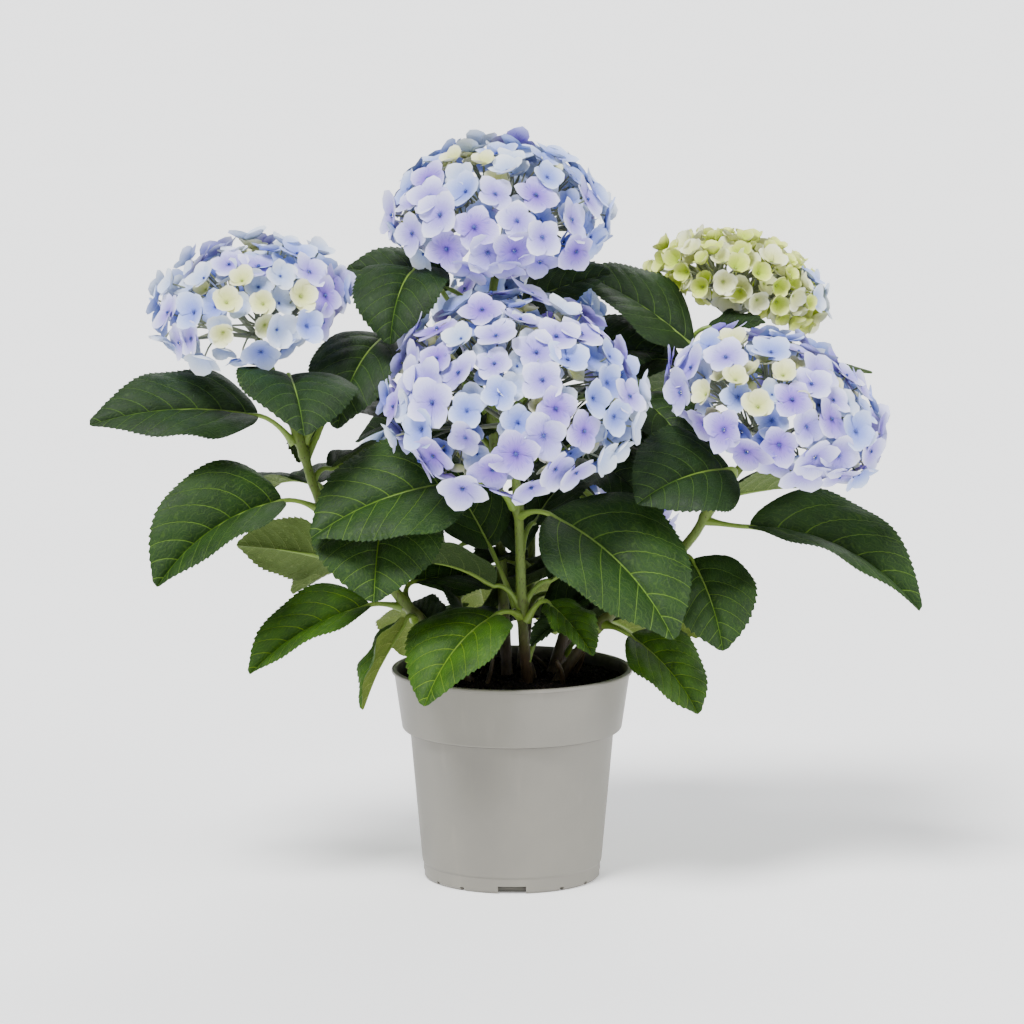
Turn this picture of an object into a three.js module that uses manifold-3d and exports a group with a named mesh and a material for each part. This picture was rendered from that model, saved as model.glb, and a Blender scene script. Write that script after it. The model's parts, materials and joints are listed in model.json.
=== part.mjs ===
// A potted hydrangea: leafy canes with mophead flower heads in a round plastic nursery pot.
// Millimetres, +Z up. The origin is the middle of the pot's flat underside, and the front is -Y.
import * as THREE from "three";
import { mergeVertices } from "three/addons/utils/BufferGeometryUtils.js";
import Module from "manifold-3d";

const wasm = await Module();
wasm.setup();

// Driving sizes of the pot
const POT_HEIGHT = 167;
const RIM_RADIUS = 95;
const COLLAR_TOP_RADIUS = 93;
const COLLAR_FOOT_RADIUS = 86.7;
const COLLAR_FOOT_HEIGHT = 119;
const BODY_TOP_RADIUS = 80.5;
const BODY_FOOT_RADIUS = 71;
const FOOT_RADIUS = 70;
const FOOT_HEIGHT = 12;
const WALL = 2.2;
const FLOOR = 3.5;
const LIP = 3;
const POT_SIDES = 40;
const NOTCH_HEIGHT = 6;
const NOTCH_DEPTH = 16;
const WIDE_NOTCH = 22;
const SMALL_NOTCH = 7;
const SMALL_NOTCH_TURN = 37;
const SOIL_CLEARANCE = 1;
const SOIL_EDGE = 4;

// Driving sizes of the plant
const SOIL_HEIGHT = 158;
const SOIL_SIDES = 32;
const GAP = 0.4;
const CANE_SIDES = 6;
const CANE_FOOT_RADIUS = 4.6;
const CANE_TOP_RADIUS = 3.2;
const CANE_STEPS = 7;
const STALK_RADIUS = 2.2;
const RIB_HEIGHT = 0.8;
const KEEL_DEPTH = 1.8;
const TIP_THICKNESS = 0.5;
const STALK_BEND = 0.4;
const MIDRIB_STEPS = 40;
const HEAD_SIDES = 14;
const HEAD_BANDS = 8;
const HEAD_BOXINESS = 0.85;
const HEAD_LUMP = 0.03;

const colours = {
  pot: new THREE.MeshStandardMaterial({ color: 0x96938a, roughness: 0.55, metalness: 0 }),
  soil: new THREE.MeshStandardMaterial({ color: 0x1c140e, roughness: 0.95, metalness: 0 }),
  cane: new THREE.MeshStandardMaterial({ color: 0x6f7f3a, roughness: 0.6, metalness: 0 }),
  leaf: new THREE.MeshStandardMaterial({ color: 0x37552a, roughness: 0.6, metalness: 0 }),
  bloom: new THREE.MeshStandardMaterial({ color: 0xb4b8dc, roughness: 0.7, metalness: 0 }),
  youngBloom: new THREE.MeshStandardMaterial({ color: 0xcdd08c, roughness: 0.7, metalness: 0 }),
};

const plant = new THREE.Group();
const radians = THREE.MathUtils.degToRad;
const UP = new THREE.Vector3(0, 0, 1);

function addMesh(name, geometry, material) {
  const mesh = new THREE.Mesh(geometry, material);
  mesh.name = name;
  plant.add(mesh);
  return mesh;
}

// A unit vector from its compass turn about +Z (0 is +X, 90 is the back) and its rise above level.
function direction(turn, rise) {
  const flat = Math.cos(radians(rise));
  return new THREE.Vector3(
    flat * Math.cos(radians(turn)),
    flat * Math.sin(radians(turn)),
    Math.sin(radians(rise)),
  );
}

// A closed skin over rings of equal vertex count, each listed anticlockwise as seen from the far end.
// The first ring gets a flat cap, and the last one runs to the point given or gets a flat cap too.
function loft(rings, point) {
  const sides = rings[0].length;
  const vertices = rings.flat();
  const faces = [];
  for (let i = 1; i < sides - 1; i++) faces.push(0, i + 1, i);
  for (let row = 0; row < rings.length - 1; row++) {
    for (let i = 0; i < sides; i++) {
      const a = row * sides + i;
      const b = row * sides + ((i + 1) % sides);
      faces.push(a, b, b + sides);
      faces.push(a, b + sides, a + sides);
    }
  }
  const last = (rings.length - 1) * sides;
  if (point) {
    vertices.push(point);
    for (let i = 0; i < sides; i++) {
      faces.push(last + i, last + ((i + 1) % sides), vertices.length - 1);
    }
  } else {
    for (let i = 1; i < sides - 1; i++) faces.push(last, last + i, last + i + 1);
  }
  const geometry = new THREE.BufferGeometry().setFromPoints(vertices);
  geometry.setIndex(faces);
  geometry.computeVertexNormals();
  return geometry;
}

// ---------- pot ----------

function solidFrom(geometry) {
  const bare = geometry.clone();
  bare.deleteAttribute("normal");
  bare.deleteAttribute("uv");
  const merged = mergeVertices(bare, 1e-4);
  return new wasm.Manifold(
    new wasm.Mesh({
      numProp: 3,
      vertProperties: new Float32Array(merged.attributes.position.array),
      triVerts: new Uint32Array(merged.index.array),
    }),
  );
}

function geometryFrom(solid) {
  const mesh = solid.getMesh();
  const geometry = new THREE.BufferGeometry();
  geometry.setAttribute("position", new THREE.BufferAttribute(mesh.vertProperties, 3));
  geometry.setIndex(new THREE.BufferAttribute(mesh.triVerts, 1));
  geometry.computeVertexNormals();
  return geometry;
}

// A profile of [radius, height] pairs, turned about +Z.
function turned(profile, sides) {
  const points = profile.map(([radius, height]) => new THREE.Vector2(radius, height));
  return new THREE.LatheGeometry(points, sides).rotateX(Math.PI / 2);
}

const COLLAR_SLOPE = (COLLAR_TOP_RADIUS - COLLAR_FOOT_RADIUS) / (POT_HEIGHT - LIP - COLLAR_FOOT_HEIGHT);
const collarRadius = (height) => COLLAR_FOOT_RADIUS + COLLAR_SLOPE * (height - COLLAR_FOOT_HEIGHT);
const STEP_TOP = COLLAR_FOOT_HEIGHT + 2;

function potShell() {
  const profile = [
    [0, 0],
    [FOOT_RADIUS - 2, 0],
    [FOOT_RADIUS, 2],
    [FOOT_RADIUS, FOOT_HEIGHT],
    [BODY_FOOT_RADIUS, FOOT_HEIGHT + 1],
    [BODY_TOP_RADIUS, COLLAR_FOOT_HEIGHT],
    [COLLAR_FOOT_RADIUS, COLLAR_FOOT_HEIGHT],
    [COLLAR_TOP_RADIUS, POT_HEIGHT - LIP],
    [RIM_RADIUS, POT_HEIGHT - LIP],
    [RIM_RADIUS, POT_HEIGHT],
    [COLLAR_TOP_RADIUS - WALL, POT_HEIGHT],
    [collarRadius(STEP_TOP) - WALL, STEP_TOP],
    [BODY_TOP_RADIUS - WALL, STEP_TOP],
    [FOOT_RADIUS - WALL, FLOOR],
    [0, FLOOR],
  ];
  let shell = solidFrom(turned(profile, POT_SIDES));
  const cutNotch = (turn, width) => {
    const box = new THREE.BoxGeometry(NOTCH_DEPTH, width, 2 * NOTCH_HEIGHT);
    box.translate(FOOT_RADIUS - 1, 0, 0).rotateZ(radians(turn));
    shell = shell.subtract(solidFrom(box));
  };
  for (let quarter = 0; quarter < 4; quarter++) {
    cutNotch(90 * quarter, WIDE_NOTCH);
    cutNotch(90 * quarter - SMALL_NOTCH_TURN, SMALL_NOTCH);
    cutNotch(90 * quarter + SMALL_NOTCH_TURN, SMALL_NOTCH);
  }
  return geometryFrom(shell);
}

// The earth fills the pot to a little below the rim, clear of the wall all round.
function soilPlug() {
  const clear = WALL + SOIL_CLEARANCE;
  return turned(
    [
      [0, FLOOR + SOIL_CLEARANCE],
      [FOOT_RADIUS - clear - 1, FLOOR + SOIL_CLEARANCE],
      [BODY_TOP_RADIUS - clear, STEP_TOP - 3],
      [BODY_TOP_RADIUS - clear, STEP_TOP + 1],
      [collarRadius(STEP_TOP) - clear, STEP_TOP + 1],
      [collarRadius(SOIL_HEIGHT) - clear, SOIL_HEIGHT - 1],
      [collarRadius(SOIL_HEIGHT) - clear - SOIL_EDGE, SOIL_HEIGHT],
      [0, SOIL_HEIGHT],
    ],
    SOIL_SIDES,
  );
}

addMesh("pot", potShell(), colours.pot);
addMesh("soil", soilPlug(), colours.soil);

// ---------- flower heads ----------

// Each head is an uneven dome on the end of a cane: where its middle lies, the way its crown faces
// (turn and rise), its radius, and how far it bulges above and below the rim of the dome.
const heads = {
  front: { at: [-1, -88, 392], faces: [-90, 52], radius: 102, above: 64, below: 28, seed: 1 },
  top: { at: [-9, 12, 517], faces: [-90, 76], radius: 90, above: 62, below: 24, seed: 2 },
  left: { at: [-202, -18, 452], faces: [-118, 68], radius: 79, above: 52, below: 24, seed: 3 },
  young: { at: [179, 98, 455], faces: [20, 74], radius: 72, above: 44, below: 22, seed: 4 },
  right: { at: [204, -46, 377], faces: [-35, 64], radius: 91, above: 54, below: 28, seed: 5 },
  rear: { at: [6, 122, 424], faces: [90, 66], radius: 70, above: 50, below: 26, seed: 6 },
  back_left: { at: [-68, 146, 298], faces: [120, 48], radius: 64, above: 50, below: 26, seed: 7 },
  back_right: { at: [72, 154, 272], faces: [60, 42], radius: 62, above: 50, below: 26, seed: 8 },
};

// The lumps die away towards the poles, so the dome's middle height and its foot stay as given.
function lump(around, fromPole, seed) {
  const swell = Math.sin(fromPole) ** 2;
  const wide = Math.sin(3 * around + 2.1 * seed);
  const small = Math.sin(5 * around - 1.3 * seed + 3 * fromPole);
  return 1 + swell * HEAD_LUMP * (wide + small);
}

function dome({ radius, above, below, seed }) {
  const rings = [];
  for (let band = 1; band < HEAD_BANDS; band++) {
    const fromPole = Math.PI * (1 - band / HEAD_BANDS);
    const bulge = Math.cos(fromPole) > 0 ? above : below;
    const ring = [];
    for (let i = 0; i < HEAD_SIDES; i++) {
      const around = (2 * Math.PI * i) / HEAD_SIDES;
      const out = radius * Math.sin(fromPole) ** HEAD_BOXINESS * lump(around, fromPole, seed);
      ring.push(
        new THREE.Vector3(
          out * Math.cos(around),
          out * Math.sin(around),
          bulge * Math.cos(fromPole),
        ),
      );
    }
    rings.push(ring);
  }
  return loft(rings, new THREE.Vector3(0, 0, above));
}

for (const [name, head] of Object.entries(heads)) {
  const material = name === "young" ? colours.youngBloom : colours.bloom;
  const mesh = addMesh(`flowers_${name}`, dome(head), material);
  mesh.position.set(...head.at);
  mesh.quaternion.setFromUnitVectors(UP, direction(...head.faces));
}

// ---------- canes ----------

// Each cane leaves the earth at its foot, passes its bends and ends under the head it carries.
const canes = {
  front: { foot: [12, -14], bends: [[8, -32, 214], [5, -50, 298]], head: "front" },
  left: { foot: [-34, -12], bends: [[-81, -25, 220], [-146, -30, 298], [-166, -22, 352]], head: "left" },
  right: { foot: [36, -10], bends: [[69, -12, 203], [135, -10, 264], [160, -20, 306]], head: "right" },
  young: { foot: [32, 26], bends: [[62, 38, 240], [118, 50, 330], [160, 70, 400]], head: "young" },
  top: { foot: [-4, 14], bends: [[-8, 26, 240], [-14, 28, 340], [-18, 16, 440]], head: "top" },
  rear: { foot: [8, 46], bends: [[14, 62, 220], [14, 86, 320]], head: "rear" },
  back_left: { foot: [-30, 36], bends: [[-44, 66, 205], [-58, 102, 252]], head: "back_left" },
  back_right: { foot: [38, 52], bends: [[52, 82, 196], [66, 114, 236]], head: "back_right" },
};

function headFoot({ at, faces, below }) {
  const down = direction(...faces).multiplyScalar(-(below * Math.cos(Math.PI / HEAD_BANDS) + 2 * GAP));
  return new THREE.Vector3(...at).add(down);
}

function caneCurve({ foot, bends, head }) {
  return new THREE.CatmullRomCurve3([
    new THREE.Vector3(...foot, SOIL_HEIGHT + GAP),
    ...bends.map((bend) => new THREE.Vector3(...bend)),
    headFoot(heads[head]),
  ]);
}

const caneRadius = (part) => THREE.MathUtils.lerp(CANE_FOOT_RADIUS, CANE_TOP_RADIUS, part);

// The foot is cut level with the earth and the top square to the dome, the rings between square to the cane.
function caneSkin(curve, head) {
  const rings = [];
  for (let step = 0; step <= CANE_STEPS; step++) {
    const part = step / CANE_STEPS;
    let along = curve.getTangent(part);
    if (step === 0) along = UP.clone();
    if (step === CANE_STEPS) along = direction(...head.faces);
    const side = new THREE.Vector3(1, 0, 0).addScaledVector(along, -along.x).normalize();
    const across = along.clone().cross(side);
    const middle = curve.getPoint(part);
    const ring = [];
    for (let i = 0; i < CANE_SIDES; i++) {
      const around = (2 * Math.PI * i) / CANE_SIDES;
      ring.push(
        middle
          .clone()
          .addScaledVector(side, caneRadius(part) * Math.cos(around))
          .addScaledVector(across, caneRadius(part) * Math.sin(around)),
      );
    }
    rings.push(ring);
  }
  return loft(rings);
}

const curves = {};
for (const [name, cane] of Object.entries(canes)) {
  curves[name] = caneCurve(cane);
  addMesh(`cane_${name}`, caneSkin(curves[name], heads[cane.head]), colours.cane);
}

// ---------- leaves ----------

// Each leaf hangs on a stalk from its cane. "from" is the height of the joint on the cane. "stalk" is
// the way the stalk leaves (turn), how far out and how far up the blade starts. "blade" is the way it
// points (turn), its length and its width. It leaves at "rise" degrees above level and bends down by
// "droop" degrees on its way to the tip. "lean" turns its upper side to the right, seen from the
// stalk, or to the left where negative, and "fold" lifts both halves from the midrib.
const leaves = [
  // left cane, from the highest joint down
  { cane: "left", from: 380, stalk: [-80, 28, 26], blade: [-80, 98, 94], rise: 0, droop: 42, lean: -6, fold: 8 },
  { cane: "left", from: 352, stalk: [-165, 32, 20], blade: [-166, 134, 80], rise: 14, droop: 30, lean: -34, fold: 8 },
  { cane: "left", from: 352, stalk: [20, 24, 22], blade: [40, 84, 70], rise: 16, droop: 50, lean: 20, fold: 10 },
  { cane: "left", from: 300, stalk: [-148, 36, 8], blade: [-153, 126, 92], rise: -4, droop: 50, lean: -32, fold: 30 },
  { cane: "left", from: 300, stalk: [100, 26, 14], blade: [130, 90, 76], rise: 10, droop: 50, lean: 0, fold: 10 },
  { cane: "left", from: 262, stalk: [-60, 38, 38], blade: [-96, 88, 102], rise: -16, droop: 56, lean: 0, fold: 6 },
  { cane: "left", from: 256, stalk: [160, 34, 2], blade: [174, 72, 52], rise: 12, droop: 10, lean: 78, fold: 10 },
  { cane: "left", from: 221, stalk: [-166, 30, 2], blade: [-160, 112, 58], rise: -8, droop: 36, lean: -30, fold: 26 },
  { cane: "left", from: 212, stalk: [-110, 24, 2], blade: [-132, 82, 44], rise: -40, droop: 24, lean: 36, fold: 30 },
  { cane: "left", from: 226, stalk: [70, 26, 10], blade: [30, 76, 66], rise: 10, droop: 30, lean: 24, fold: 8 },
  { cane: "left", from: 340, stalk: [60, 34, 34], blade: [150, 54, 50], rise: -50, droop: 20, lean: 0, fold: 8 },
  // front cane
  { cane: "front", from: 306, stalk: [-140, 42, 22], blade: [-164, 138, 104], rise: 2, droop: 36, lean: -36, fold: 6 },
  { cane: "front", from: 298, stalk: [-50, 38, 4], blade: [-32, 144, 114], rise: -16, droop: 44, lean: 26, fold: 8 },
  { cane: "front", from: 216, stalk: [-120, 40, 6], blade: [-132, 106, 84], rise: -10, droop: 52, lean: -6, fold: 8 },
  { cane: "front", from: 214, stalk: [-40, 26, 14], blade: [-46, 62, 40], rise: -20, droop: 30, lean: 10, fold: 10 },
  { cane: "front", from: 224, stalk: [150, 28, 42], blade: [150, 86, 64], rise: 62, droop: 20, lean: -30, fold: 8 },
  // right cane
  { cane: "right", from: 204, stalk: [-50, 34, -4], blade: [-26, 84, 68], rise: -26, droop: 36, lean: 20, fold: 8 },
  { cane: "right", from: 226, stalk: [40, 28, -4], blade: [16, 60, 52], rise: -24, droop: 24, lean: -60, fold: 10 },
  { cane: "right", from: 252, stalk: [-60, 32, 8], blade: [-60, 82, 74], rise: -34, droop: 40, lean: 16, fold: 8 },
  { cane: "right", from: 286, stalk: [-20, 38, -2], blade: [-14, 154, 82], rise: 2, droop: 52, lean: 26, fold: 28 },
  { cane: "right", from: 296, stalk: [80, 34, 4], blade: [30, 96, 80], rise: 8, droop: 14, lean: -20, fold: 12 },
  { cane: "right", from: 310, stalk: [-80, 34, 24], blade: [-142, 96, 90], rise: 6, droop: 34, lean: -38, fold: 6 },
  // young cane
  { cane: "young", from: 388, stalk: [-108, 40, 32], blade: [-172, 108, 74], rise: 45, droop: 24, lean: -38, fold: 8 },
  { cane: "young", from: 374, stalk: [-72, 28, 59], blade: [-6, 46, 30], rise: 12, droop: 12, lean: 25, fold: 8 },
  { cane: "young", from: 360, stalk: [70, 44, 20], blade: [-2, 138, 66], rise: 14, droop: 20, lean: -10, fold: 10 },
  { cane: "young", from: 330, stalk: [-130, 34, 50], blade: [-52, 96, 90], rise: -10, droop: 44, lean: 0, fold: 8 },
  { cane: "young", from: 280, stalk: [-130, 60, 56], blade: [-34, 94, 88], rise: -4, droop: 44, lean: 10, fold: 8 },
  // top cane
  { cane: "top", from: 434, stalk: [0, 26, 20], blade: [-14, 76, 56], rise: 28, droop: 16, lean: 40, fold: 8 },
  { cane: "top", from: 440, stalk: [158, 34, 24], blade: [170, 84, 60], rise: 20, droop: 20, lean: -34, fold: 10 },
  { cane: "top", from: 410, stalk: [-156, 62, 74], blade: [-108, 88, 76], rise: 0, droop: 80, lean: 0, fold: 6 },
  { cane: "top", from: 370, stalk: [-166, 86, 60], blade: [-118, 104, 78], rise: -10, droop: 60, lean: -6, fold: 6 },
  { cane: "top", from: 360, stalk: [10, 56, 40], blade: [-10, 84, 70], rise: 30, droop: 40, lean: 40, fold: 8 },
  // canes at the back
  { cane: "rear", from: 340, stalk: [170, 34, 30], blade: [172, 110, 80], rise: 30, droop: 44, lean: 20, fold: 10 },
  { cane: "rear", from: 340, stalk: [30, 34, 20], blade: [40, 120, 86], rise: 20, droop: 44, lean: -20, fold: 10 },
  { cane: "rear", from: 312, stalk: [90, 34, 22], blade: [90, 112, 76], rise: 18, droop: 44, lean: 0, fold: 10 },
  { cane: "back_left", from: 225, stalk: [180, 34, 14], blade: [165, 104, 82], rise: 4, droop: 44, lean: 20, fold: 10 },
  { cane: "back_left", from: 225, stalk: [60, 34, 2], blade: [80, 104, 78], rise: -18, droop: 40, lean: 0, fold: 10 },
  { cane: "back_left", from: 190, stalk: [120, 34, 6], blade: [114, 96, 76], rise: -10, droop: 44, lean: 0, fold: 10 },
  { cane: "back_right", from: 214, stalk: [0, 34, 12], blade: [14, 112, 80], rise: 0, droop: 44, lean: -20, fold: 10 },
  { cane: "back_right", from: 214, stalk: [110, 34, 0], blade: [100, 90, 70], rise: -20, droop: 40, lean: 0, fold: 10 },
  { cane: "back_right", from: 186, stalk: [40, 34, 4], blade: [50, 96, 72], rise: -14, droop: 44, lean: 0, fold: 10 },
];

// How wide the blade is along its length: round at the stalk, widest before the middle, and drawn
// out to a narrow tip.
const BLADE_STATIONS = [0, 0.06, 0.17, 0.3, 0.44, 0.58, 0.72, 0.84, 0.93];
const ROUND_FOOT = 0.6;
const SLENDER_TIP = 0.9;
const fullness = (part) => part ** ROUND_FOOT * (1 - part) ** SLENDER_TIP;
const WIDEST = ROUND_FOOT / (ROUND_FOOT + SLENDER_TIP);
const bladeWidth = (part) => fullness(part) / fullness(WIDEST);

// The place on a cane at a given height, found by halving, because every cane climbs all the way.
const HALVINGS = 30;

function joint(curve, height) {
  let low = 0;
  let high = 1;
  for (let i = 0; i < HALVINGS; i++) {
    const middle = (low + high) / 2;
    if (curve.getPoint(middle).z < height) low = middle;
    else high = middle;
  }
  return { point: curve.getPoint(low), part: low };
}

// The midrib's points from the foot of the blade, with the blade pointing along +X.
function midrib({ blade, rise, droop }, foot) {
  const step = blade[1] / MIDRIB_STEPS;
  const points = [foot.clone()];
  for (let i = 0; i < MIDRIB_STEPS; i++) {
    const heading = direction(0, rise - (droop * (i + 0.5)) / MIDRIB_STEPS);
    points.push(points[i].clone().addScaledVector(heading, step));
  }
  return (part) => {
    const place = part * MIDRIB_STEPS;
    const i = Math.min(Math.floor(place), MIDRIB_STEPS - 1);
    return points[i].clone().lerp(points[i + 1], place - i);
  };
}

function leafSkin(leaf, clearance) {
  const [stalkTurn, reach, lift] = leaf.stalk;
  const outward = direction(stalkTurn - leaf.blade[0], 0);
  const start = outward.clone().multiplyScalar(clearance);
  const foot = outward.clone().multiplyScalar(reach).addScaledVector(UP, lift);
  const rib = midrib(leaf, foot);
  const arrival = direction(0, leaf.rise);
  const handle = start.distanceTo(foot) * STALK_BEND;
  const stalk = new THREE.QuadraticBezierCurve3(start, foot.clone().addScaledVector(arrival, -handle), foot);
  const lean = radians(leaf.lean);
  const fold = radians(leaf.fold);
  const ring = (middle, along, halfWidth, top, keel, folded) => {
    const level = along.clone().cross(UP).normalize();
    const upright = level.clone().cross(along);
    const right = level.clone().multiplyScalar(Math.cos(lean)).addScaledVector(upright, -Math.sin(lean));
    const above = upright.clone().multiplyScalar(Math.cos(lean)).addScaledVector(level, Math.sin(lean));
    const edge = (sign) =>
      middle
        .clone()
        .addScaledVector(right, sign * halfWidth * Math.cos(folded))
        .addScaledVector(above, halfWidth * Math.sin(folded));
    return [
      edge(1),
      middle.clone().addScaledVector(above, -keel),
      edge(-1),
      middle.clone().addScaledVector(above, top),
    ];
  };
  const rings = [];
  for (const part of [0, 0.5]) {
    const along = stalk.getTangent(part);
    rings.push(ring(stalk.getPoint(part), along, STALK_RADIUS, STALK_RADIUS, STALK_RADIUS, 0));
  }
  for (const part of BLADE_STATIONS) {
    const along = direction(0, leaf.rise - leaf.droop * part);
    const halfWidth = part === 0 ? STALK_RADIUS : (leaf.blade[2] / 2) * bladeWidth(part);
    const slim = THREE.MathUtils.lerp(1, TIP_THICKNESS, part);
    rings.push(ring(rib(part), along, halfWidth, RIB_HEIGHT * slim, KEEL_DEPTH * slim, part === 0 ? 0 : fold));
  }
  return loft(rings, rib(1));
}

const counted = {};
for (const leaf of leaves) {
  counted[leaf.cane] = (counted[leaf.cane] ?? 0) + 1;
  const { point, part } = joint(curves[leaf.cane], leaf.from);
  const slant = direction(leaf.stalk[0], 0).angleTo(curves[leaf.cane].getTangent(part));
  const clearance = (caneRadius(part) + STALK_RADIUS + GAP) / Math.sin(slant);
  const mesh = addMesh(`leaf_${leaf.cane}_${counted[leaf.cane]}`, leafSkin(leaf, clearance), colours.leaf);
  mesh.position.copy(point);
  mesh.rotation.z = radians(leaf.blade[0]);
}

export default plant;
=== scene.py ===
# %% [markdown]
# A potted hydrangea, built around its fixed frame.
# The frame holds one plain solid for the pot, the soil, each cane, each leaf and each flower head.
# Every solid says where its piece grows, how long it is and which way it leans, so this lesson first
# reads those skeletons back, and then grows the real surfaces along them.

# %% Load the frame
import json
import math

import bmesh
import bpy
import numpy as np
from mathutils import Matrix, Vector

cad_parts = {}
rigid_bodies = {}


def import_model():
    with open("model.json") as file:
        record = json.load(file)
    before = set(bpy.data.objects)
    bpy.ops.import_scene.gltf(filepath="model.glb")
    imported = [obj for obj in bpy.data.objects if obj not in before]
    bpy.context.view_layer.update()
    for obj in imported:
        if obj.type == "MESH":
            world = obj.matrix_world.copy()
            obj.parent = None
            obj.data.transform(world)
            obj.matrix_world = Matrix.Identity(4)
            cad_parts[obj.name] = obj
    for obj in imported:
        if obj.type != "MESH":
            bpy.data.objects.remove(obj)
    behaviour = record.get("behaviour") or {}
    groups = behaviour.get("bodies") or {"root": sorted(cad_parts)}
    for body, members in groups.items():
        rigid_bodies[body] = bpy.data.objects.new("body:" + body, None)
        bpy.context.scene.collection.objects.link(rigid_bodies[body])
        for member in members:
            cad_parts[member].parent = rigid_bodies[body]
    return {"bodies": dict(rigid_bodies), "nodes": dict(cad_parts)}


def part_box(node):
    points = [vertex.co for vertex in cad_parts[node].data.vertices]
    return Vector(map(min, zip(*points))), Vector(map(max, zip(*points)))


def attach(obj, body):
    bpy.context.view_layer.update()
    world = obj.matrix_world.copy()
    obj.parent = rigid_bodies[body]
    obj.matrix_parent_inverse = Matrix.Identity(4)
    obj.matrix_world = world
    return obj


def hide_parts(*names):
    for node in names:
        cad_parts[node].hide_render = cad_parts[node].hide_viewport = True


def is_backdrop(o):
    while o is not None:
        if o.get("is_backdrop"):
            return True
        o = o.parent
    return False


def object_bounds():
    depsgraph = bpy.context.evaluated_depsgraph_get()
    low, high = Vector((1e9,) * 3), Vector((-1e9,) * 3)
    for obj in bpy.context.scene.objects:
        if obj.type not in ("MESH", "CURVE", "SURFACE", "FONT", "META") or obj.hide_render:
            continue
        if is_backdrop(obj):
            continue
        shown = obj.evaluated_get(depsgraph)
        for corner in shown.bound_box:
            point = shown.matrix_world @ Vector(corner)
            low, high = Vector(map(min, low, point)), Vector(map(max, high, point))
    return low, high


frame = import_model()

for thing in list(bpy.data.objects):
    if thing.name not in frame["nodes"] and thing not in frame["bodies"].values():
        bpy.data.objects.remove(thing)
cad_low, cad_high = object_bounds()
print("the plant stands", round(cad_high.z, 3), "m high with its pot")

# %% [markdown]
# Materials and growth rules are both node trees. Writing each node with its settings and its links on
# one line keeps a tree readable, so these short helpers come first.

# %% Helpers for node trees
def add(tree, kind, inputs=None, **settings):
    """A new node. An input is a number, a colour or the socket that feeds it."""
    made = tree.nodes.new(kind)
    for name, value in settings.items():
        setattr(made, name, value)
    for key, value in (inputs or {}).items():
        if isinstance(value, bpy.types.NodeSocket):
            tree.links.new(value, made.inputs[key])
        else:
            made.inputs[key].default_value = value
    return made


def calc(tree, operation, *values):
    """One step of arithmetic on fields."""
    return add(tree, "ShaderNodeMath", dict(enumerate(values)), operation=operation).outputs[0]


def fade(tree, value, start, end, low=0.0, high=1.0):
    """Goes smoothly from low to high while value goes from start to end."""
    inputs = {"Value": value, 1: start, 2: end, 3: low, 4: high}
    return add(tree, "ShaderNodeMapRange", inputs, interpolation_type="SMOOTHSTEP").outputs[0]


def blend(tree, share, first, second):
    """A colour between two, by share."""
    made = add(tree, "ShaderNodeMix", {0: share, 6: first, 7: second}, data_type="RGBA")
    return made.outputs[2]


def noise(tree, place, scale, detail=3.0):
    """Soft noise from 0 to 1."""
    inputs = {"Vector": place, "Scale": scale, "Detail": detail}
    return add(tree, "ShaderNodeTexNoise", inputs).outputs["Fac"]


def object_place(tree):
    """Where a point lies in the plant's own space, in metres."""
    return add(tree, "ShaderNodeTexCoord").outputs["Object"]


def stretched(tree, place, scale):
    """A place scaled along its axes, to draw a pattern out."""
    return add(tree, "ShaderNodeMapping", {"Vector": place, "Scale": scale}).outputs[0]


def bumped(tree, height, distance, under=None):
    """A normal that follows a height. Distance is the full height of the relief, in metres."""
    inputs = {"Height": height, "Distance": distance, "Strength": 1.0}
    if under is not None:
        inputs["Normal"] = under
    return add(tree, "ShaderNodeBump", inputs).outputs[0]


def surface(name, roughness, specular=0.5):
    """A fresh material and the two things that its pattern needs: its tree and its shader."""
    material = bpy.data.materials.new(name)
    material.use_nodes = True
    shader = material.node_tree.nodes["Principled BSDF"]
    shader.inputs["Roughness"].default_value = roughness
    shader.inputs["Specular IOR Level"].default_value = specular
    return material, material.node_tree, shader


def paint(tree, shader, **sockets):
    """Feeds the shader's sockets, whose names are written with _ for spaces."""
    for name, value in sockets.items():
        socket = shader.inputs[name.replace("_", " ")]
        if isinstance(value, bpy.types.NodeSocket):
            tree.links.new(value, socket)
        else:
            socket.default_value = value


def srgb(red, green, blue):
    """A colour as it looks on a screen, 0 to 255, turned into the linear numbers of a shader."""
    shares = [value / 255 for value in (red, green, blue)]
    linear = [x / 12.92 if x <= 0.04045 else ((x + 0.055) / 1.055) ** 2.4 for x in shares]
    return (*linear, 1.0)


# %% [markdown]
# Geometry Nodes make what repeats. A tree's inputs get names here, and a modifier's inputs are then
# set by each socket's identifier before the object is evaluated for the first time. The result is
# taken as a plain mesh, so no modifier is left on the finished piece.

# %% Helpers for growth
SOCKETS = {
    "geometry": "NodeSocketGeometry",
    "int": "NodeSocketInt",
    "float": "NodeSocketFloat",
    "object": "NodeSocketObject",
    "material": "NodeSocketMaterial",
}


def growth_tree(name, **inputs):
    """An empty tree with a Geometry input and output, and the named inputs."""
    tree = bpy.data.node_groups.new(name, "GeometryNodeTree")
    tree.interface.new_socket("Geometry", in_out="INPUT", socket_type=SOCKETS["geometry"])
    tree.interface.new_socket("Geometry", in_out="OUTPUT", socket_type=SOCKETS["geometry"])
    for label, kind in inputs.items():
        tree.interface.new_socket(label.replace("_", " "), in_out="INPUT", socket_type=SOCKETS[kind])
    return tree, tree.nodes.new("NodeGroupInput").outputs


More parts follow.
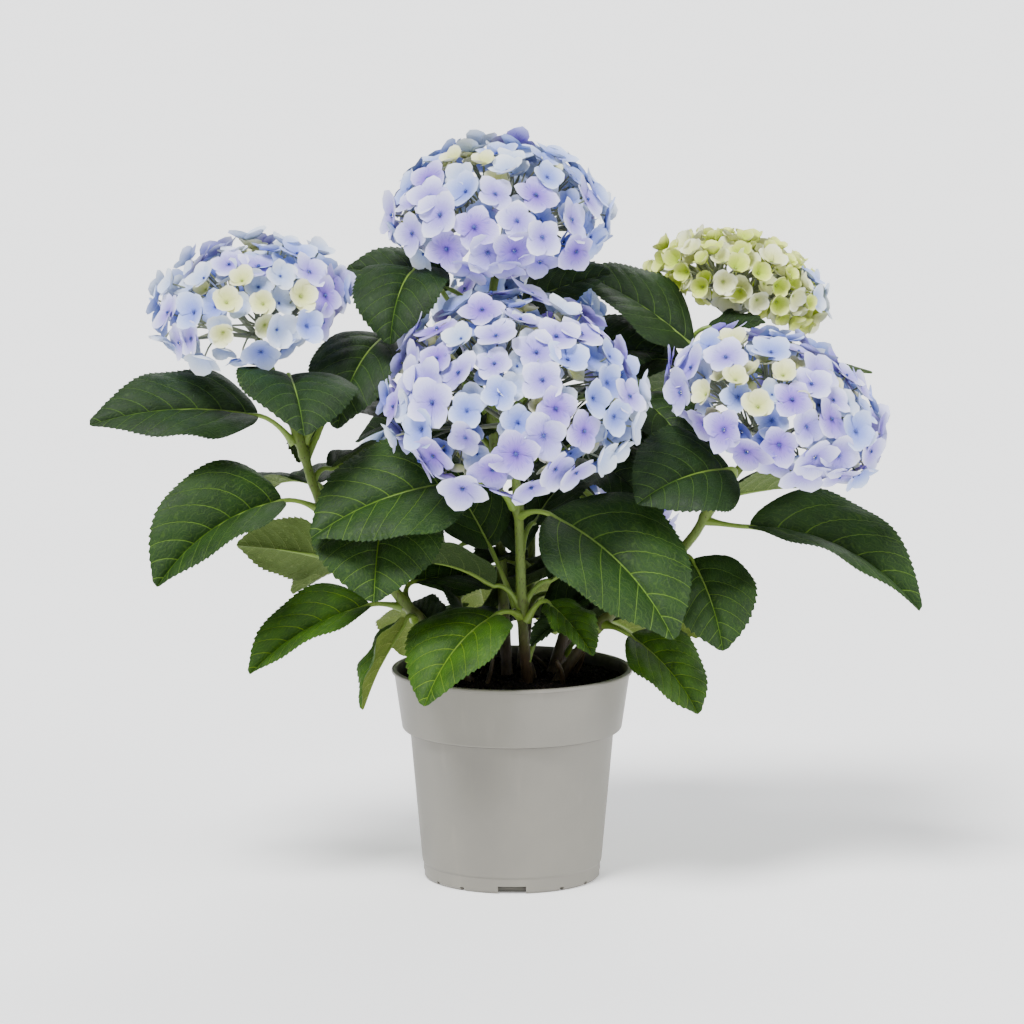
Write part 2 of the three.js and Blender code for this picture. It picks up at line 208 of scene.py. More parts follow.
def finish_tree(tree, geometry, material):
    """Every tree ends the same way: real geometry instead of instances, and its material."""
    real = add(tree, "GeometryNodeRealizeInstances", {"Geometry": geometry}).outputs[0]
    dressed = add(tree, "GeometryNodeSetMaterial", {"Geometry": real, "Material": material}).outputs[0]
    tree.links.new(dressed, tree.nodes.new("NodeGroupOutput").inputs[0])


def linked(name, mesh):
    """A mesh as an object of the scene."""
    made = bpy.data.objects.new(name, mesh)
    bpy.context.scene.collection.objects.link(made)
    return made


def grown(name, start, tree, **settings):
    """Runs a tree on a starting mesh and returns the result as a plain object."""
    seedling = linked(name + "_seedling", start)
    modifier = seedling.modifiers.new("growth", "NODES")
    modifier.node_group = tree
    for item in tree.interface.items_tree:
        key = item.name.replace(" ", "_")
        if item.in_out == "INPUT" and key in settings:
            modifier[item.identifier] = settings[key]
    graph = bpy.context.evaluated_depsgraph_get()
    result = bpy.data.meshes.new_from_object(seedling.evaluated_get(graph), depsgraph=graph)
    bpy.data.objects.remove(seedling)
    return linked(name, result)


def triangles(piece):
    """How many triangles a piece's faces make."""
    return sum(len(face.vertices) - 2 for face in piece.data.polygons)


def ready(piece, slot_name, *nodes):
    """A finished piece moves with the plant and stands for its solids. Its slot name is not used."""
    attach(piece, "root")
    if nodes:
        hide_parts(*nodes)
    print(piece.name, "has", triangles(piece), "triangles")


# %% [markdown]
# ## Reading the skeletons
# Each solid of a cane, leaf or flower head is a row of rings. Walking outwards from one end, neighbour
# by neighbour, finds the rings again, and from them the centre line, the widths and the upper side.

# %% Walk a solid ring by ring
WELD = 1e-5


def welded(node_name):
    """A copy of a node's mesh with its shared corners joined again."""
    shape = bmesh.new()
    shape.from_mesh(frame["nodes"][node_name].data)
    bmesh.ops.remove_doubles(shape, verts=shape.verts, dist=WELD)
    shape.verts.ensure_lookup_table()
    shape.verts.index_update()
    return shape


def rings_from(first):
    """The rings of vertices, walked outwards from the first ones."""
    seen = set(first)
    rings = [list(first)]
    while True:
        near = {edge.other_vert(vertex) for vertex in rings[-1] for edge in vertex.link_edges}
        fresh = sorted(near - seen, key=lambda vertex: vertex.index)
        if not fresh:
            return rings
        seen.update(fresh)
        rings.append(fresh)


def middle(ring):
    """The mean place of a ring's vertices."""
    return np.mean([vertex.co for vertex in ring], axis=0)


def unit(vectors):
    """Vectors, or one vector, made one long."""
    vectors = np.asarray(vectors, float)
    return vectors / np.maximum(np.linalg.norm(vectors, axis=-1, keepdims=True), 1e-12)


def threaded(places, values, at):
    """Values read along a smooth line that passes through the known ones."""
    places, values, at = np.asarray(places), np.asarray(values, float), np.asarray(at)
    slopes = np.gradient(values, places, axis=0)
    left = np.clip(np.searchsorted(places, at, side="right") - 1, 0, len(places) - 2)
    span = places[left + 1] - places[left]
    part = (at - places[left]) / span
    if values.ndim > 1:
        span, part = span[:, None], part[:, None]
    rise = part * part * (3 - 2 * part)
    pull = part * (1 - part) ** 2 * span
    push = part * part * (part - 1) * span
    between = values[left] * (1 - rise) + values[left + 1] * rise
    return between + slopes[left] * pull + slopes[left + 1] * push


def lengths_along(points):
    """How far along its line each point lies, from 0 to 1."""
    steps = np.linalg.norm(np.diff(points, axis=0), axis=1)
    return np.concatenate([[0.0], np.cumsum(steps)]) / steps.sum()


# %% Read the leaves
LEAF_RINGS = [1] + [4] * 11


def read_leaf(name):
    """The stalk's three points, and the blade's midrib, right side and half width at each ring."""
    shape = welded(name)
    walks = (rings_from([vertex]) for vertex in shape.verts)
    rings = next(walk for walk in walks if [len(ring) for ring in walk] == LEAF_RINGS)[::-1]
    stalk = np.array([middle(ring) for ring in rings[:3]])
    midrib = [middle(rings[2])]
    sides = []
    for ring in rings[3:-1]:
        corners = np.array([vertex.co for vertex in ring])
        gaps = np.linalg.norm(corners[:, None] - corners[None], axis=2)
        i, j = np.unravel_index(np.argmax(gaps), gaps.shape)
        inner = [k for k in range(4) if k not in (i, j)]
        midrib.append(corners[inner].mean(axis=0))
        sides.append((corners[i], corners[j]))
    midrib = np.array(midrib + [middle(rings[-1])])
    shape.free()
    along = unit(np.gradient(midrib, axis=0))
    across = np.array([first - second for first, second in sides])
    lift = np.array([(first + second) / 2 for first, second in sides]) - midrib[1:-1]
    widest = int(np.argmax(np.linalg.norm(across, axis=1)))
    for k in range(widest - 1, -1, -1):
        across[k] *= np.sign(across[k] @ across[k + 1])
    for k in range(widest + 1, len(across)):
        across[k] *= np.sign(across[k] @ across[k - 1])
    if np.cross(across[widest], along[widest + 1]) @ lift[widest] < 0:
        across = -across
    half = np.hypot(np.linalg.norm(across, axis=1) / 2, np.linalg.norm(lift, axis=1))
    fold = math.atan2(np.linalg.norm(lift[widest]), np.linalg.norm(across[widest]) / 2)
    right = unit(across)
    right = np.concatenate([right[:1], right, right[-1:]])
    return {
        "stalk": stalk,
        "places": lengths_along(midrib),
        "midrib": midrib,
        "right": right,
        "half": np.concatenate([[0.0], half, [0.0]]),
        "fold": fold,
        "length": np.linalg.norm(np.diff(midrib, axis=0), axis=1).sum(),
    }


leaf_names = sorted(name for name in frame["nodes"] if name.startswith("leaf_"))
leaves = {name: read_leaf(name) for name in leaf_names}
longest = max(leaf["length"] for leaf in leaves.values())
print(len(leaves), "leaves, the longest blade", round(longest, 3), "m")


# %% Read the canes and the flower heads
def read_cane(name):
    """The cane's centre line and its radius, from the soil up."""
    shape = welded(name)
    floor_height = min(vertex.co.z for vertex in shape.verts)
    foot = [vertex for vertex in shape.verts if vertex.co.z < floor_height + WELD]
    rings = rings_from(foot)
    line = np.array([middle(ring) for ring in rings])
    radius = [np.linalg.norm(np.array(ring[0].co) - centre) for ring, centre in zip(rings, line)]
    shape.free()
    return {"line": line, "radius": np.array(radius)}


def read_head(name):
    """The dome's crown, foot and axis, with its skin as triangles for the florets to sit on."""
    shape = welded(name)
    walks = (rings_from([vertex]) for vertex in shape.verts)
    rings = next(walk for walk in walks if len({len(ring) for ring in walk[1:]}) == 1)
    crown = rings[0][0]
    foot = middle(rings[-1])
    top = np.array(crown.co)
    shape.normal_update()
    bmesh.ops.triangulate(shape, faces=shape.faces)
    faces = [face.verts for face in shape.faces]
    skin = np.array([[vertex.co for vertex in face] for face in faces])
    normals = np.array([[vertex.normal for vertex in face] for face in faces])
    widest = max(rings, key=lambda ring: np.linalg.norm(np.array(ring[0].co) - middle(ring)))
    radius = np.mean([np.linalg.norm(np.array(vertex.co) - middle(widest)) for vertex in widest])
    centre = middle(widest)
    shape.free()
    return {"top": top, "foot": foot, "axis": unit(top - foot), "centre": centre,
            "skin": skin, "normals": normals, "radius": radius}


kinds = sorted(name.removeprefix("cane_") for name in frame["nodes"] if name.startswith("cane_"))
canes = {kind: read_cane("cane_" + kind) for kind in kinds}
heads = {kind: read_head("flowers_" + kind) for kind in kinds}
print(len(canes), "canes and heads:", ", ".join(kinds))

# %% [markdown]
# ## The camera and the light
# The camera comes first, because every look at the work goes through it. It stands a few metres off
# and a little above the flowers, with a long lens. The floor is wide, plain and pale. The air around is
# bright overhead and dimmer near the ground, as under a wide soft box, so the leaves shade the pot. The
# lamps are suns, because a sun lights the whole floor evenly, and its angle says how wide the lamp looks
# and so how soft its shadows are. The strongest stands in front and above, and two weaker ones light the
# side and the back. The floor glows a little, as a white table lit from below does, and throws soft
# light up at the pot.

# %% Camera
CAMERA_RISE = math.radians(9.2)
CAMERA_DISTANCE = 4.0
CAMERA_LENS = 179.2

target = Vector((0, 0, cad_high.z / 2))
camera = bpy.data.objects.new("camera", bpy.data.cameras.new("camera"))
bpy.context.scene.collection.objects.link(camera)
camera.location = target + CAMERA_DISTANCE * Vector((0, -math.cos(CAMERA_RISE), math.sin(CAMERA_RISE)))
camera.rotation_euler = (math.pi / 2 - CAMERA_RISE, 0, 0)
camera.data.sensor_width = 36
camera.data.lens = CAMERA_LENS
bpy.context.scene.camera = camera

# %% Floor and light
FLOOR_RADIUS = 40.0
FLOOR_GLOW = 0.34


def floor_paint():
    """Nearly white, a little cloudy, with its own faint glow."""
    material, tree, shader = surface("pale_floor", roughness=0.9, specular=0.1)
    tone = fade(tree, noise(tree, object_place(tree), 3.0), 0.2, 0.8)
    paint(tree, shader, Base_Color=blend(tree, tone, (0.87, 0.87, 0.87, 1), (0.89, 0.89, 0.89, 1)),
          Emission_Color=(1, 1, 0.99, 1), Emission_Strength=FLOOR_GLOW)
    return material


def soft_lamp(name, place, width, strength):
    """A sun that looks from a place at the middle of the plant, as wide in the sky as its angle."""
    lamp = bpy.data.objects.new(name, bpy.data.lights.new(name, "SUN"))
    bpy.context.scene.collection.objects.link(lamp)
    lamp.location = place
    lamp.rotation_euler = (target - lamp.location).to_track_quat("-Z", "Y").to_euler()
    lamp.data.angle = math.radians(width)
    lamp.data.energy = strength


floor_mesh = bpy.data.meshes.new("floor")
floor_shape = bmesh.new()
bmesh.ops.create_circle(floor_shape, cap_ends=True, radius=FLOOR_RADIUS, segments=64)
floor_shape.to_mesh(floor_mesh)
floor_shape.free()
floor_mesh.materials.append(floor_paint())
floor = linked("floor", floor_mesh)
floor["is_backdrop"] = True

HORIZON_LIGHT = 0.5
OVERHEAD_LIGHT = 1.75
world = bpy.data.worlds.new("studio")
world.use_nodes = True
sky = world.node_tree
looking = add(sky, "ShaderNodeTexCoord").outputs["Normal"]
way_up = add(sky, "ShaderNodeSeparateXYZ", {0: looking}).outputs["Z"]
background = sky.nodes["Background"].inputs
background["Color"].default_value = (0.94, 0.97, 1.0, 1)
sky.links.new(fade(sky, way_up, 0.0, 1.0, HORIZON_LIGHT, OVERHEAD_LIGHT), background["Strength"])
bpy.context.scene.world = world
soft_lamp("key", Vector((-0.9, -1.5, 3.0)), width=21, strength=5.5)
soft_lamp("side", Vector((2.2, -0.9, 1.2)), width=31, strength=1.7)
soft_lamp("back", Vector((0.6, 2.2, 2.2)), width=30, strength=1.6)

# %% [markdown]
# ## The pot
# A round nursery pot is moulded in one thin wall: a tapering body, a wider collar under the rim, and
# notches in the foot that let water out. Its radii are read from the frame's solid, level by level.
# The wall is turned as one closed profile with rounded corners, and the notches are cut out of it.

# %% Read the pot's levels
def levels_of(name):
    """Each height of a turned solid, with the radii of its corners there, from the inside out."""
    found = {}
    for vertex in frame["nodes"][name].data.vertices:
        height = round(vertex.co.z, 4)
        found.setdefault(height, set()).add(round(math.hypot(vertex.co.x, vertex.co.y), 4))
    return {height: sorted(radii) for height, radii in sorted(found.items())}


pot_levels = levels_of("pot")
heights = list(pot_levels)
rim_top = heights[-1]
rim_foot = heights[-2]
rim_radius = pot_levels[rim_top][-1]
collar_inner = pot_levels[rim_top][0]
collar_radius = pot_levels[rim_foot][0]
step_top, step_foot = heights[-3], heights[-4]
collar_foot_radius = pot_levels[step_foot][-1]
body_radius = pot_levels[step_foot][0]
body_foot_height = heights[-5]
body_foot_radius = pot_levels[body_foot_height][-1]
foot_radius = pot_levels[heights[-6]][-1]
wall = collar_radius - collar_inner
print("pot: rim radius", rim_radius, "m, height", rim_top, "m, wall", round(wall, 4), "m")

# %% Turn the pot
POT_SIDES = 144
CORNER_STEPS = 4
LIP_ARC = 0.0012
CORNER_ARC = 0.0008
STEP_ARC = 0.0006
FLANK_ARC = 0.0004
FOOT_BEVEL = 0.002
FLANK_IN = 0.0012
FLANK_RISE = 0.0014
FLOOR_THICKNESS = 0.0035


def rounded(profile):
    """A profile of (radius, height, corner size) with each corner turned into a short arc."""
    points = []
    for before, here, after in zip(profile[-1:] + profile[:-1], profile, profile[1:] + profile[:1]):
        corner = np.array(here[:2])
        size = here[2]
        if size == 0:
            points.append(corner)
            continue
        start = corner + unit(np.array(before[:2]) - corner) * size
        end = corner + unit(np.array(after[:2]) - corner) * size
        for share in np.linspace(0, 1, CORNER_STEPS):
            points.append((1 - share) ** 2 * start + 2 * share * (1 - share) * corner + share**2 * end)
    return np.array(points)


def turned_mesh(name, profile, sides):
    """A closed outline, listed from the axis out and up, turned once round the pot's axis."""
    rings, count = [], len(profile)
    for turn in np.arange(sides) * 2 * math.pi / sides:
        out = profile[:, 0]
        rings.append(np.stack([out * math.cos(turn), out * math.sin(turn), profile[:, 1]], axis=1))
    faces = []
    for i in range(sides):
        here, there = i * count, ((i + 1) % sides) * count
        for k in range(count - 1):
            faces.append((here + k, there + k, there + k + 1, here + k + 1))
    mesh = bpy.data.meshes.new(name)
    mesh.from_pydata(np.concatenate(rings).tolist(), [], faces)
    shape = bmesh.new()
    shape.from_mesh(mesh)
    bmesh.ops.remove_doubles(shape, verts=shape.verts, dist=WELD)
    bmesh.ops.recalc_face_normals(shape, faces=shape.faces)
    shape.to_mesh(mesh)
    shape.free()
    return mesh


inner_step = body_radius - wall
pot_profile = rounded([
    (0, 0, 0),
    (foot_radius - FOOT_BEVEL, 0, CORNER_ARC),
    (foot_radius, FOOT_BEVEL, CORNER_ARC),
    (foot_radius, body_foot_height - 0.001, CORNER_ARC),
    (body_foot_radius, body_foot_height, CORNER_ARC),
    (body_radius, step_foot, STEP_ARC),
    (collar_foot_radius - FLANK_IN, step_foot, FLANK_ARC),
    (collar_foot_radius, step_foot + FLANK_RISE, CORNER_ARC),
    (collar_radius, rim_foot, CORNER_ARC),
    (rim_radius, rim_foot, CORNER_ARC),
    (rim_radius, rim_top, LIP_ARC),
    (collar_inner, rim_top, LIP_ARC),
    (inner_step + collar_foot_radius - body_radius, step_top, CORNER_ARC),
    (inner_step, step_top, CORNER_ARC),
    (foot_radius - wall, FLOOR_THICKNESS, CORNER_ARC),
    (0, FLOOR_THICKNESS, 0),
])
pot = linked("nursery_pot", turned_mesh("nursery_pot", pot_profile, POT_SIDES))

# %% Cut the drain notches
NOTCH_DEPTH = 0.016
# a turn from the front in degrees, then a width and a height in metres
NOTCHES = {0: (0.022, 0.006), 34: (0.0035, 0.003), 56: (0.0035, 0.003)}


def notch_cutter():
    """One mesh with a small box for each notch, in the same four-fold pattern all round."""
    shape = bmesh.new()
    for quarter in range(4):
        for turn, (width, height) in NOTCHES.items():
            corners = bmesh.ops.create_cube(shape, size=1)["verts"]
            bmesh.ops.scale(shape, vec=(NOTCH_DEPTH, width, 2 * height), verts=corners)
            bmesh.ops.translate(shape, vec=(foot_radius - 0.001, 0, 0), verts=corners)
            spin = Matrix.Rotation(math.radians(90 * quarter + turn), 3, "Z")
            bmesh.ops.rotate(shape, cent=(0, 0, 0), matrix=spin, verts=corners)
    mesh = bpy.data.meshes.new("notches")
    shape.to_mesh(mesh)
    shape.free()
    return linked("notches", mesh)


def cut_out(piece, cutter):
    """Takes the cutter's shape out of a piece, and leaves a plain mesh."""
    modifier = piece.modifiers.new("cut", "BOOLEAN")
    modifier.object = cutter
    modifier.operation = "DIFFERENCE"
    modifier.solver = "EXACT"
    graph = bpy.context.evaluated_depsgraph_get()
    cut = bpy.data.meshes.new_from_object(piece.evaluated_get(graph), depsgraph=graph)
    piece.modifiers.clear()
    piece.data = cut
    bpy.data.objects.remove(cutter)


SHARP_ANGLE = math.radians(38)
cut_out(pot, notch_cutter())
pot.data.shade_smooth()
pot.data.set_sharp_from_angle(angle=SHARP_ANGLE)


# %% Pot plastic
def pot_plastic():
    """Moulded warm grey plastic: a fine satin grain and faint clouding. Its inner wall is painted dark
    brown from just under the rim down.
    """
    material, tree, shader = surface("pot_plastic", roughness=0.5, specular=0.4)
    place = object_place(tree)
    clouds = fade(tree, noise(tree, place, 14.0, 4.0), 0.3, 0.75)
    dust = fade(tree, noise(tree, stretched(tree, place, (60, 60, 9)), 1.0, 6.0), 0.56, 0.78)
    grey = blend(tree, clouds, srgb(122, 119, 111), srgb(130, 127, 118))
    dusty = blend(tree, calc(tree, "MULTIPLY", dust, 0.35), grey, srgb(146, 142, 132))
    coordinates = add(tree, "ShaderNodeTexCoord").outputs
    facing_out = add(tree, "ShaderNodeVectorMath", {0: coordinates["Normal"], 1: coordinates["Object"]},
                     operation="DOT_PRODUCT").outputs["Value"]
    height = add(tree, "ShaderNodeSeparateXYZ", {0: place}).outputs["Z"]
    # The inner wall is painted dark brown from a ragged line just under the rim down, and the outside keeps
    # its grey.
    ragged_rim_height = calc(tree, "MULTIPLY_ADD", noise(tree, place, 120.0), 0.006, height)
    dark_inner_wall = calc(tree, "MULTIPLY", fade(tree, ragged_rim_height, rim_top - 0.004, rim_top + 0.004, 0.92, 0.0),
                 fade(tree, facing_out, -0.03, -0.01, 1.0, 0.0))
    tone = blend(tree, dark_inner_wall, dusty, srgb(30, 25, 20))
    grain = noise(tree, place, 1600.0, 2.0)
    waves = noise(tree, place, 26.0, 2.0)
    normal = bumped(tree, grain, 0.00006, under=bumped(tree, waves, 0.0009))
    paint(tree, shader, Base_Color=tone, Normal=normal,
          Roughness=fade(tree, clouds, 0.0, 1.0, 0.42, 0.54))
    return material


pot.data.materials.clear()
pot.data.materials.append(pot_plastic())
ready(pot, "pot", "pot")

# %% [markdown]
# ## The soil
# Potting soil is a dark, loose mix of peat and bark. Its top is a disc of fine rings pushed up and
# down by a sum of sines, and a growth tree strews crumbs over it: it spreads points on the surface
# and puts one of a few rough lumps on each, turned and sized at random from a fixed seed.

# %% Lay the soil
SOIL_RINGS = 40
SOIL_SPOKES = 144
soil_low, soil_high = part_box("soil")
soil_radius = (soil_high.x - soil_low.x) / 2
SOIL_RELIEF = 0.0022
SOIL_EDGE_DROP = 0.002
SOIL_SKIRT = 0.02


def soil_height(x, y):
    """Low mounds and dips, worked out from the place."""
    bumps = np.sin(210 * x + 1.3) * np.sin(190 * y + 0.4) + 0.6 * np.sin(430 * x - 260 * y)
    fine = 0.5 * np.sin(900 * x + 3 * np.sin(500 * y)) * np.sin(820 * y + 2)
    return soil_high.z + SOIL_RELIEF * (bumps + fine) / 2


def soil_mesh(name, with_skirt):
    """A bumpy top. With its skirt, it turns down at the wall and closes underneath."""
    turns = np.arange(SOIL_SPOKES) * 2 * math.pi / SOIL_SPOKES
    rows = []
    for radius in soil_radius * np.linspace(1, 0.02, SOIL_RINGS):
        x, y = radius * np.cos(turns), radius * np.sin(turns)
        edge = SOIL_EDGE_DROP * (radius / soil_radius) ** 12
        rows.append(np.stack([x, y, soil_height(x, y) - edge], axis=1))
    if with_skirt:
        skirt = rows[0].copy()
        skirt[:, 2] = soil_high.z - SOIL_SKIRT
        rows.insert(0, skirt)
    faces = []
    for ring in range(len(rows) - 1):
        for i in range(SOIL_SPOKES):
            j = (i + 1) % SOIL_SPOKES
            faces.append([ring * SOIL_SPOKES + i, ring * SOIL_SPOKES + j,
                          (ring + 1) * SOIL_SPOKES + j, (ring + 1) * SOIL_SPOKES + i])
    faces.append(list(range((len(rows) - 1) * SOIL_SPOKES, len(rows) * SOIL_SPOKES)))
    if with_skirt:
        faces.append(list(range(SOIL_SPOKES))[::-1])
    mesh = bpy.data.meshes.new(name)
    mesh.from_pydata(np.concatenate(rows).tolist(), [], faces)
    mesh.shade_smooth()
    return mesh


def peat():
    """Near black, damp and rough, with lighter fibres here and there."""
    material, tree, shader = surface("peat", roughness=0.95, specular=0.2)
    place = object_place(tree)
    fibre = fade(tree, noise(tree, place, 420.0, 5.0), 0.55, 0.72)
    tone = blend(tree, fibre, srgb(16, 12, 8), srgb(50, 37, 26))
    paint(tree, shader, Base_Color=tone, Normal=bumped(tree, noise(tree, place, 700.0, 6.0), 0.0012))
    return material


peat_material = peat()
soil = linked("soil_top", soil_mesh("soil_top", with_skirt=True))
soil.data.materials.append(peat_material)

# %% A tree that strews lumps over a surface
LUMP_KINDS = 4


def lump_template(seed, size, roughness):
    """A small uneven lump. It is only copied by a tree, and is removed at the end."""
    shape = bmesh.new()
    bmesh.ops.create_icosphere(shape, subdivisions=1, radius=size)
    draw = np.random.default_rng(seed)
    for vertex in shape.verts:
        vertex.co *= 1 + roughness * draw.uniform(-1, 1)
    mesh = bpy.data.meshes.new(f"lump_{seed}")
    shape.to_mesh(mesh)
    shape.free()
    return linked(f"lump_{seed}", mesh)


def strewing_tree():
    """Points spread on the faces, a lump on each, with its own turn and size."""
    tree, given = growth_tree("strewing", Density="float", Smallest="float", Largest="float",
                              Seed="int", Lump_1="object", Lump_2="object", Lump_3="object",
                              Lump_4="object", Material="material")
    spread = add(tree, "GeometryNodeDistributePointsOnFaces",
                 {"Mesh": given["Geometry"], "Density": given["Density"], "Seed": given["Seed"]})
    lumps = add(tree, "GeometryNodeJoinGeometry")
    for k in range(LUMP_KINDS, 0, -1):
        one = add(tree, "GeometryNodeObjectInfo", {"Object": given[f"Lump {k}"], "As Instance": True})
        tree.links.new(one.outputs["Geometry"], lumps.inputs[0])
    pick = add(tree, "FunctionNodeRandomValue", {4: 0, 5: LUMP_KINDS - 1, 8: given["Seed"]},
               data_type="INT")
    turn = add(tree, "FunctionNodeRandomValue",
               {0: (0, 0, 0), 1: (6.3, 6.3, 6.3), 8: given["Seed"]}, data_type="FLOAT_VECTOR")  # full turns
    size = add(tree, "FunctionNodeRandomValue",
               {2: given["Smallest"], 3: given["Largest"], 8: given["Seed"]}, data_type="FLOAT")
    placed = add(tree, "GeometryNodeInstanceOnPoints", {
        "Points": spread.outputs["Points"], "Instance": lumps.outputs[0], "Pick Instance": True,
        "Instance Index": pick.outputs[2], "Rotation": turn.outputs[0], "Scale": size.outputs[1]})
    finish_tree(tree, placed.outputs[0], given["Material"])
    return tree


CRUMB_SIZE = 0.0017
CRUMB_ROUGHNESS = 0.35
CRUMBS_PER_M2 = 70000.0
crumbs = [lump_template(k, CRUMB_SIZE, CRUMB_ROUGHNESS) for k in range(LUMP_KINDS)]
soil_crumbs = grown("soil_crumbs", soil_mesh("crumb_bed", with_skirt=False), strewing_tree(),
                    Density=CRUMBS_PER_M2, Smallest=0.35, Largest=1.5, Seed=4, Material=peat_material,
                    **{f"Lump_{k + 1}": crumb for k, crumb in enumerate(crumbs)})
for crumb in crumbs:
    bpy.data.objects.remove(crumb)
ready(soil, "soil", "soil")
ready(soil_crumbs, "soil")

# %% [markdown]
# ## Canes and stalks
# Canes, leaf stalks and the fine stalks inside a flower head are all the same thing: a round limb
# along a line, thick at one end and thin at the other. One growth tree makes them all. It turns a
# chain of edges into a curve, runs a circle along it at each point's own radius, and roughens the
# skin by soft noise, which gives a cane its bark.

# %% A tree that grows limbs along lines
def limb_tree():
    """A round limb on every chain of edges, as thick as each point's radius says."""
    tree, given = growth_tree("limbs", Sides="int", Relief="float", Relief_Size="float",
                              Material="material")
    line = add(tree, "GeometryNodeMeshToCurve", {"Mesh": given["Geometry"]}).outputs[0]
    radius = add(tree, "GeometryNodeInputNamedAttribute", {"Name": "radius"}, data_type="FLOAT")
    circle = add(tree, "GeometryNodeCurvePrimitiveCircle", {"Resolution": given["Sides"], "Radius": 1.0})
    skin = add(tree, "GeometryNodeCurveToMesh", {
        "Curve": line, "Profile Curve": circle.outputs[0], "Scale": radius.outputs[0],
        "Fill Caps": True}).outputs[0]
    rough = add(tree, "ShaderNodeTexNoise", {"Scale": given["Relief Size"], "Detail": 3.0}).outputs[0]
    push = calc(tree, "MULTIPLY", calc(tree, "SUBTRACT", rough, 0.5), given["Relief"])
    outward = add(tree, "GeometryNodeInputNormal").outputs[0]
    offset = add(tree, "ShaderNodeVectorMath", {0: outward, "Scale": push}, operation="SCALE").outputs[0]
    barked = add(tree, "GeometryNodeSetPosition", {"Geometry": skin, "Offset": offset}).outputs[0]
    smooth = add(tree, "GeometryNodeSetShadeSmooth", {"Geometry": barked}).outputs[0]
    finish_tree(tree, smooth, given["Material"])
    return tree


limbs = limb_tree()


def chain_mesh(name, chains):
    """Edge chains for the limb tree. Each chain is its points and the radius at each of them."""
    points = np.concatenate([line for line, _ in chains])
    radii = np.concatenate([radius for _, radius in chains])
    edges, first = [], 0
    for line, _ in chains:
        edges += [(first + k, first + k + 1) for k in range(len(line) - 1)]
        first += len(line)
    mesh = bpy.data.meshes.new(name)
    mesh.from_pydata(points.tolist(), edges, [])
    mesh.attributes.new("radius", "FLOAT", "POINT").data.foreach_set("value", radii.astype(np.float32))
    return mesh


# %% [markdown]
# A cane is smooth and green near its flowers, with brown specks, and turns to brown wood near the soil.
# It swells a little at each joint, where a pair of leaves grew.

# %% Grow the canes
CANE_POINTS = 90
CANE_SIDES = 14
JOINT_SWELL = 0.36
JOINT_REACH = 0.0042
ROOT_DEPTH = 0.01
WOOD_FROM, WOOD_TO = 0.012, 0.085


def stem_green(name, foot_height, wood_height):
    """Green bark with specks above wood_height, turning to brown wood at foot_height and below."""
    material, tree, shader = surface(name, roughness=0.5, specular=0.4)
    place = object_place(tree)
    height = add(tree, "ShaderNodeSeparateXYZ", {0: place}).outputs["Z"]
    sway = calc(tree, "MULTIPLY", calc(tree, "SUBTRACT", noise(tree, place, 60.0), 0.5), 0.05)
    wavy = calc(tree, "ADD", height, sway)
    young = fade(tree, wavy, foot_height, wood_height)
    specks = fade(tree, noise(tree, stretched(tree, place, (1, 1, 0.35)), 900.0, 2.0), 0.60, 0.68)
    green = blend(tree, noise(tree, place, 90.0), srgb(72, 96, 26), srgb(108, 128, 46))
    specked = blend(tree, calc(tree, "MULTIPLY", specks, 0.75), green, srgb(58, 38, 24))
    fibres = noise(tree, stretched(tree, place, (1, 1, 0.2)), 500.0)
    wood = blend(tree, fibres, srgb(40, 31, 20), srgb(80, 64, 42))
    ridges = noise(tree, stretched(tree, place, (1, 1, 0.12)), 900.0, 4.0)
    paint(tree, shader, Base_Color=blend(tree, young, wood, specked),
          Normal=bumped(tree, ridges, 0.0006))
    return material


def joint_shares(kind, line):
    """Where on a cane's line its leaf stalks start, from 0 to 1."""
    shares = []
    places = lengths_along(line)
    for name, leaf in leaves.items():
        if name.startswith(f"leaf_{kind}_"):
            gaps = np.linalg.norm(line - leaf["stalk"][0], axis=1)
            shares.append(places[int(np.argmin(gaps))])
    return sorted(shares)


def full_cane(kind):
    """The cane's fine line and radius, with its joints, from under the soil to inside the head."""
    cane = canes[kind]
    rough_places = lengths_along(cane["line"])
    at = np.linspace(0, 1, CANE_POINTS)
    line = threaded(rough_places, cane["line"], at)
    radius = threaded(rough_places, cane["radius"], at)
    span = np.linalg.norm(np.diff(line, axis=0), axis=1).sum()
    gaps = np.abs(at[:, None] - np.array(joint_shares(kind, line))[None]).min(axis=1) * span
    radius = radius * (1 + JOINT_SWELL * np.exp(-((gaps / JOINT_REACH) ** 2)))
    root = line[0] - [0, 0, ROOT_DEPTH]
    return np.vstack([root, line]), np.concatenate([[radius[0]], radius])


cane_lines = {kind: full_cane(kind) for kind in kinds}

# %% Add the stubs of old canes
STUBS = 9
STUB_POINTS = 8
STUB_PLACES = (0.012, 0.05)
STUB_HEIGHTS = (0.02, 0.05)
STUB_SWAY = 0.02
STUB_BOW = 0.004
STUB_RADII = (0.0013, 0.0026)
STUB_TAPER = 0.75


def stub_line(draw):
    """A short dead stem that was cut back, with its foot in the soil and a little lean."""
    turn, out = draw.uniform(0, 2 * math.pi), draw.uniform(*STUB_PLACES)
    foot = np.array([out * math.cos(turn), out * math.sin(turn), soil_high.z - ROOT_DEPTH])
    sways = [draw.uniform(-STUB_SWAY, STUB_SWAY) for _ in range(2)]
    lean = np.array([*sways, draw.uniform(*STUB_HEIGHTS)])
    part = np.linspace(0, 1, STUB_POINTS)[:, None]
    line = foot + lean * part + [STUB_BOW, 0, 0] * np.sin(3 * part)
    return line, np.linspace(1, STUB_TAPER, STUB_POINTS) * draw.uniform(*STUB_RADII)


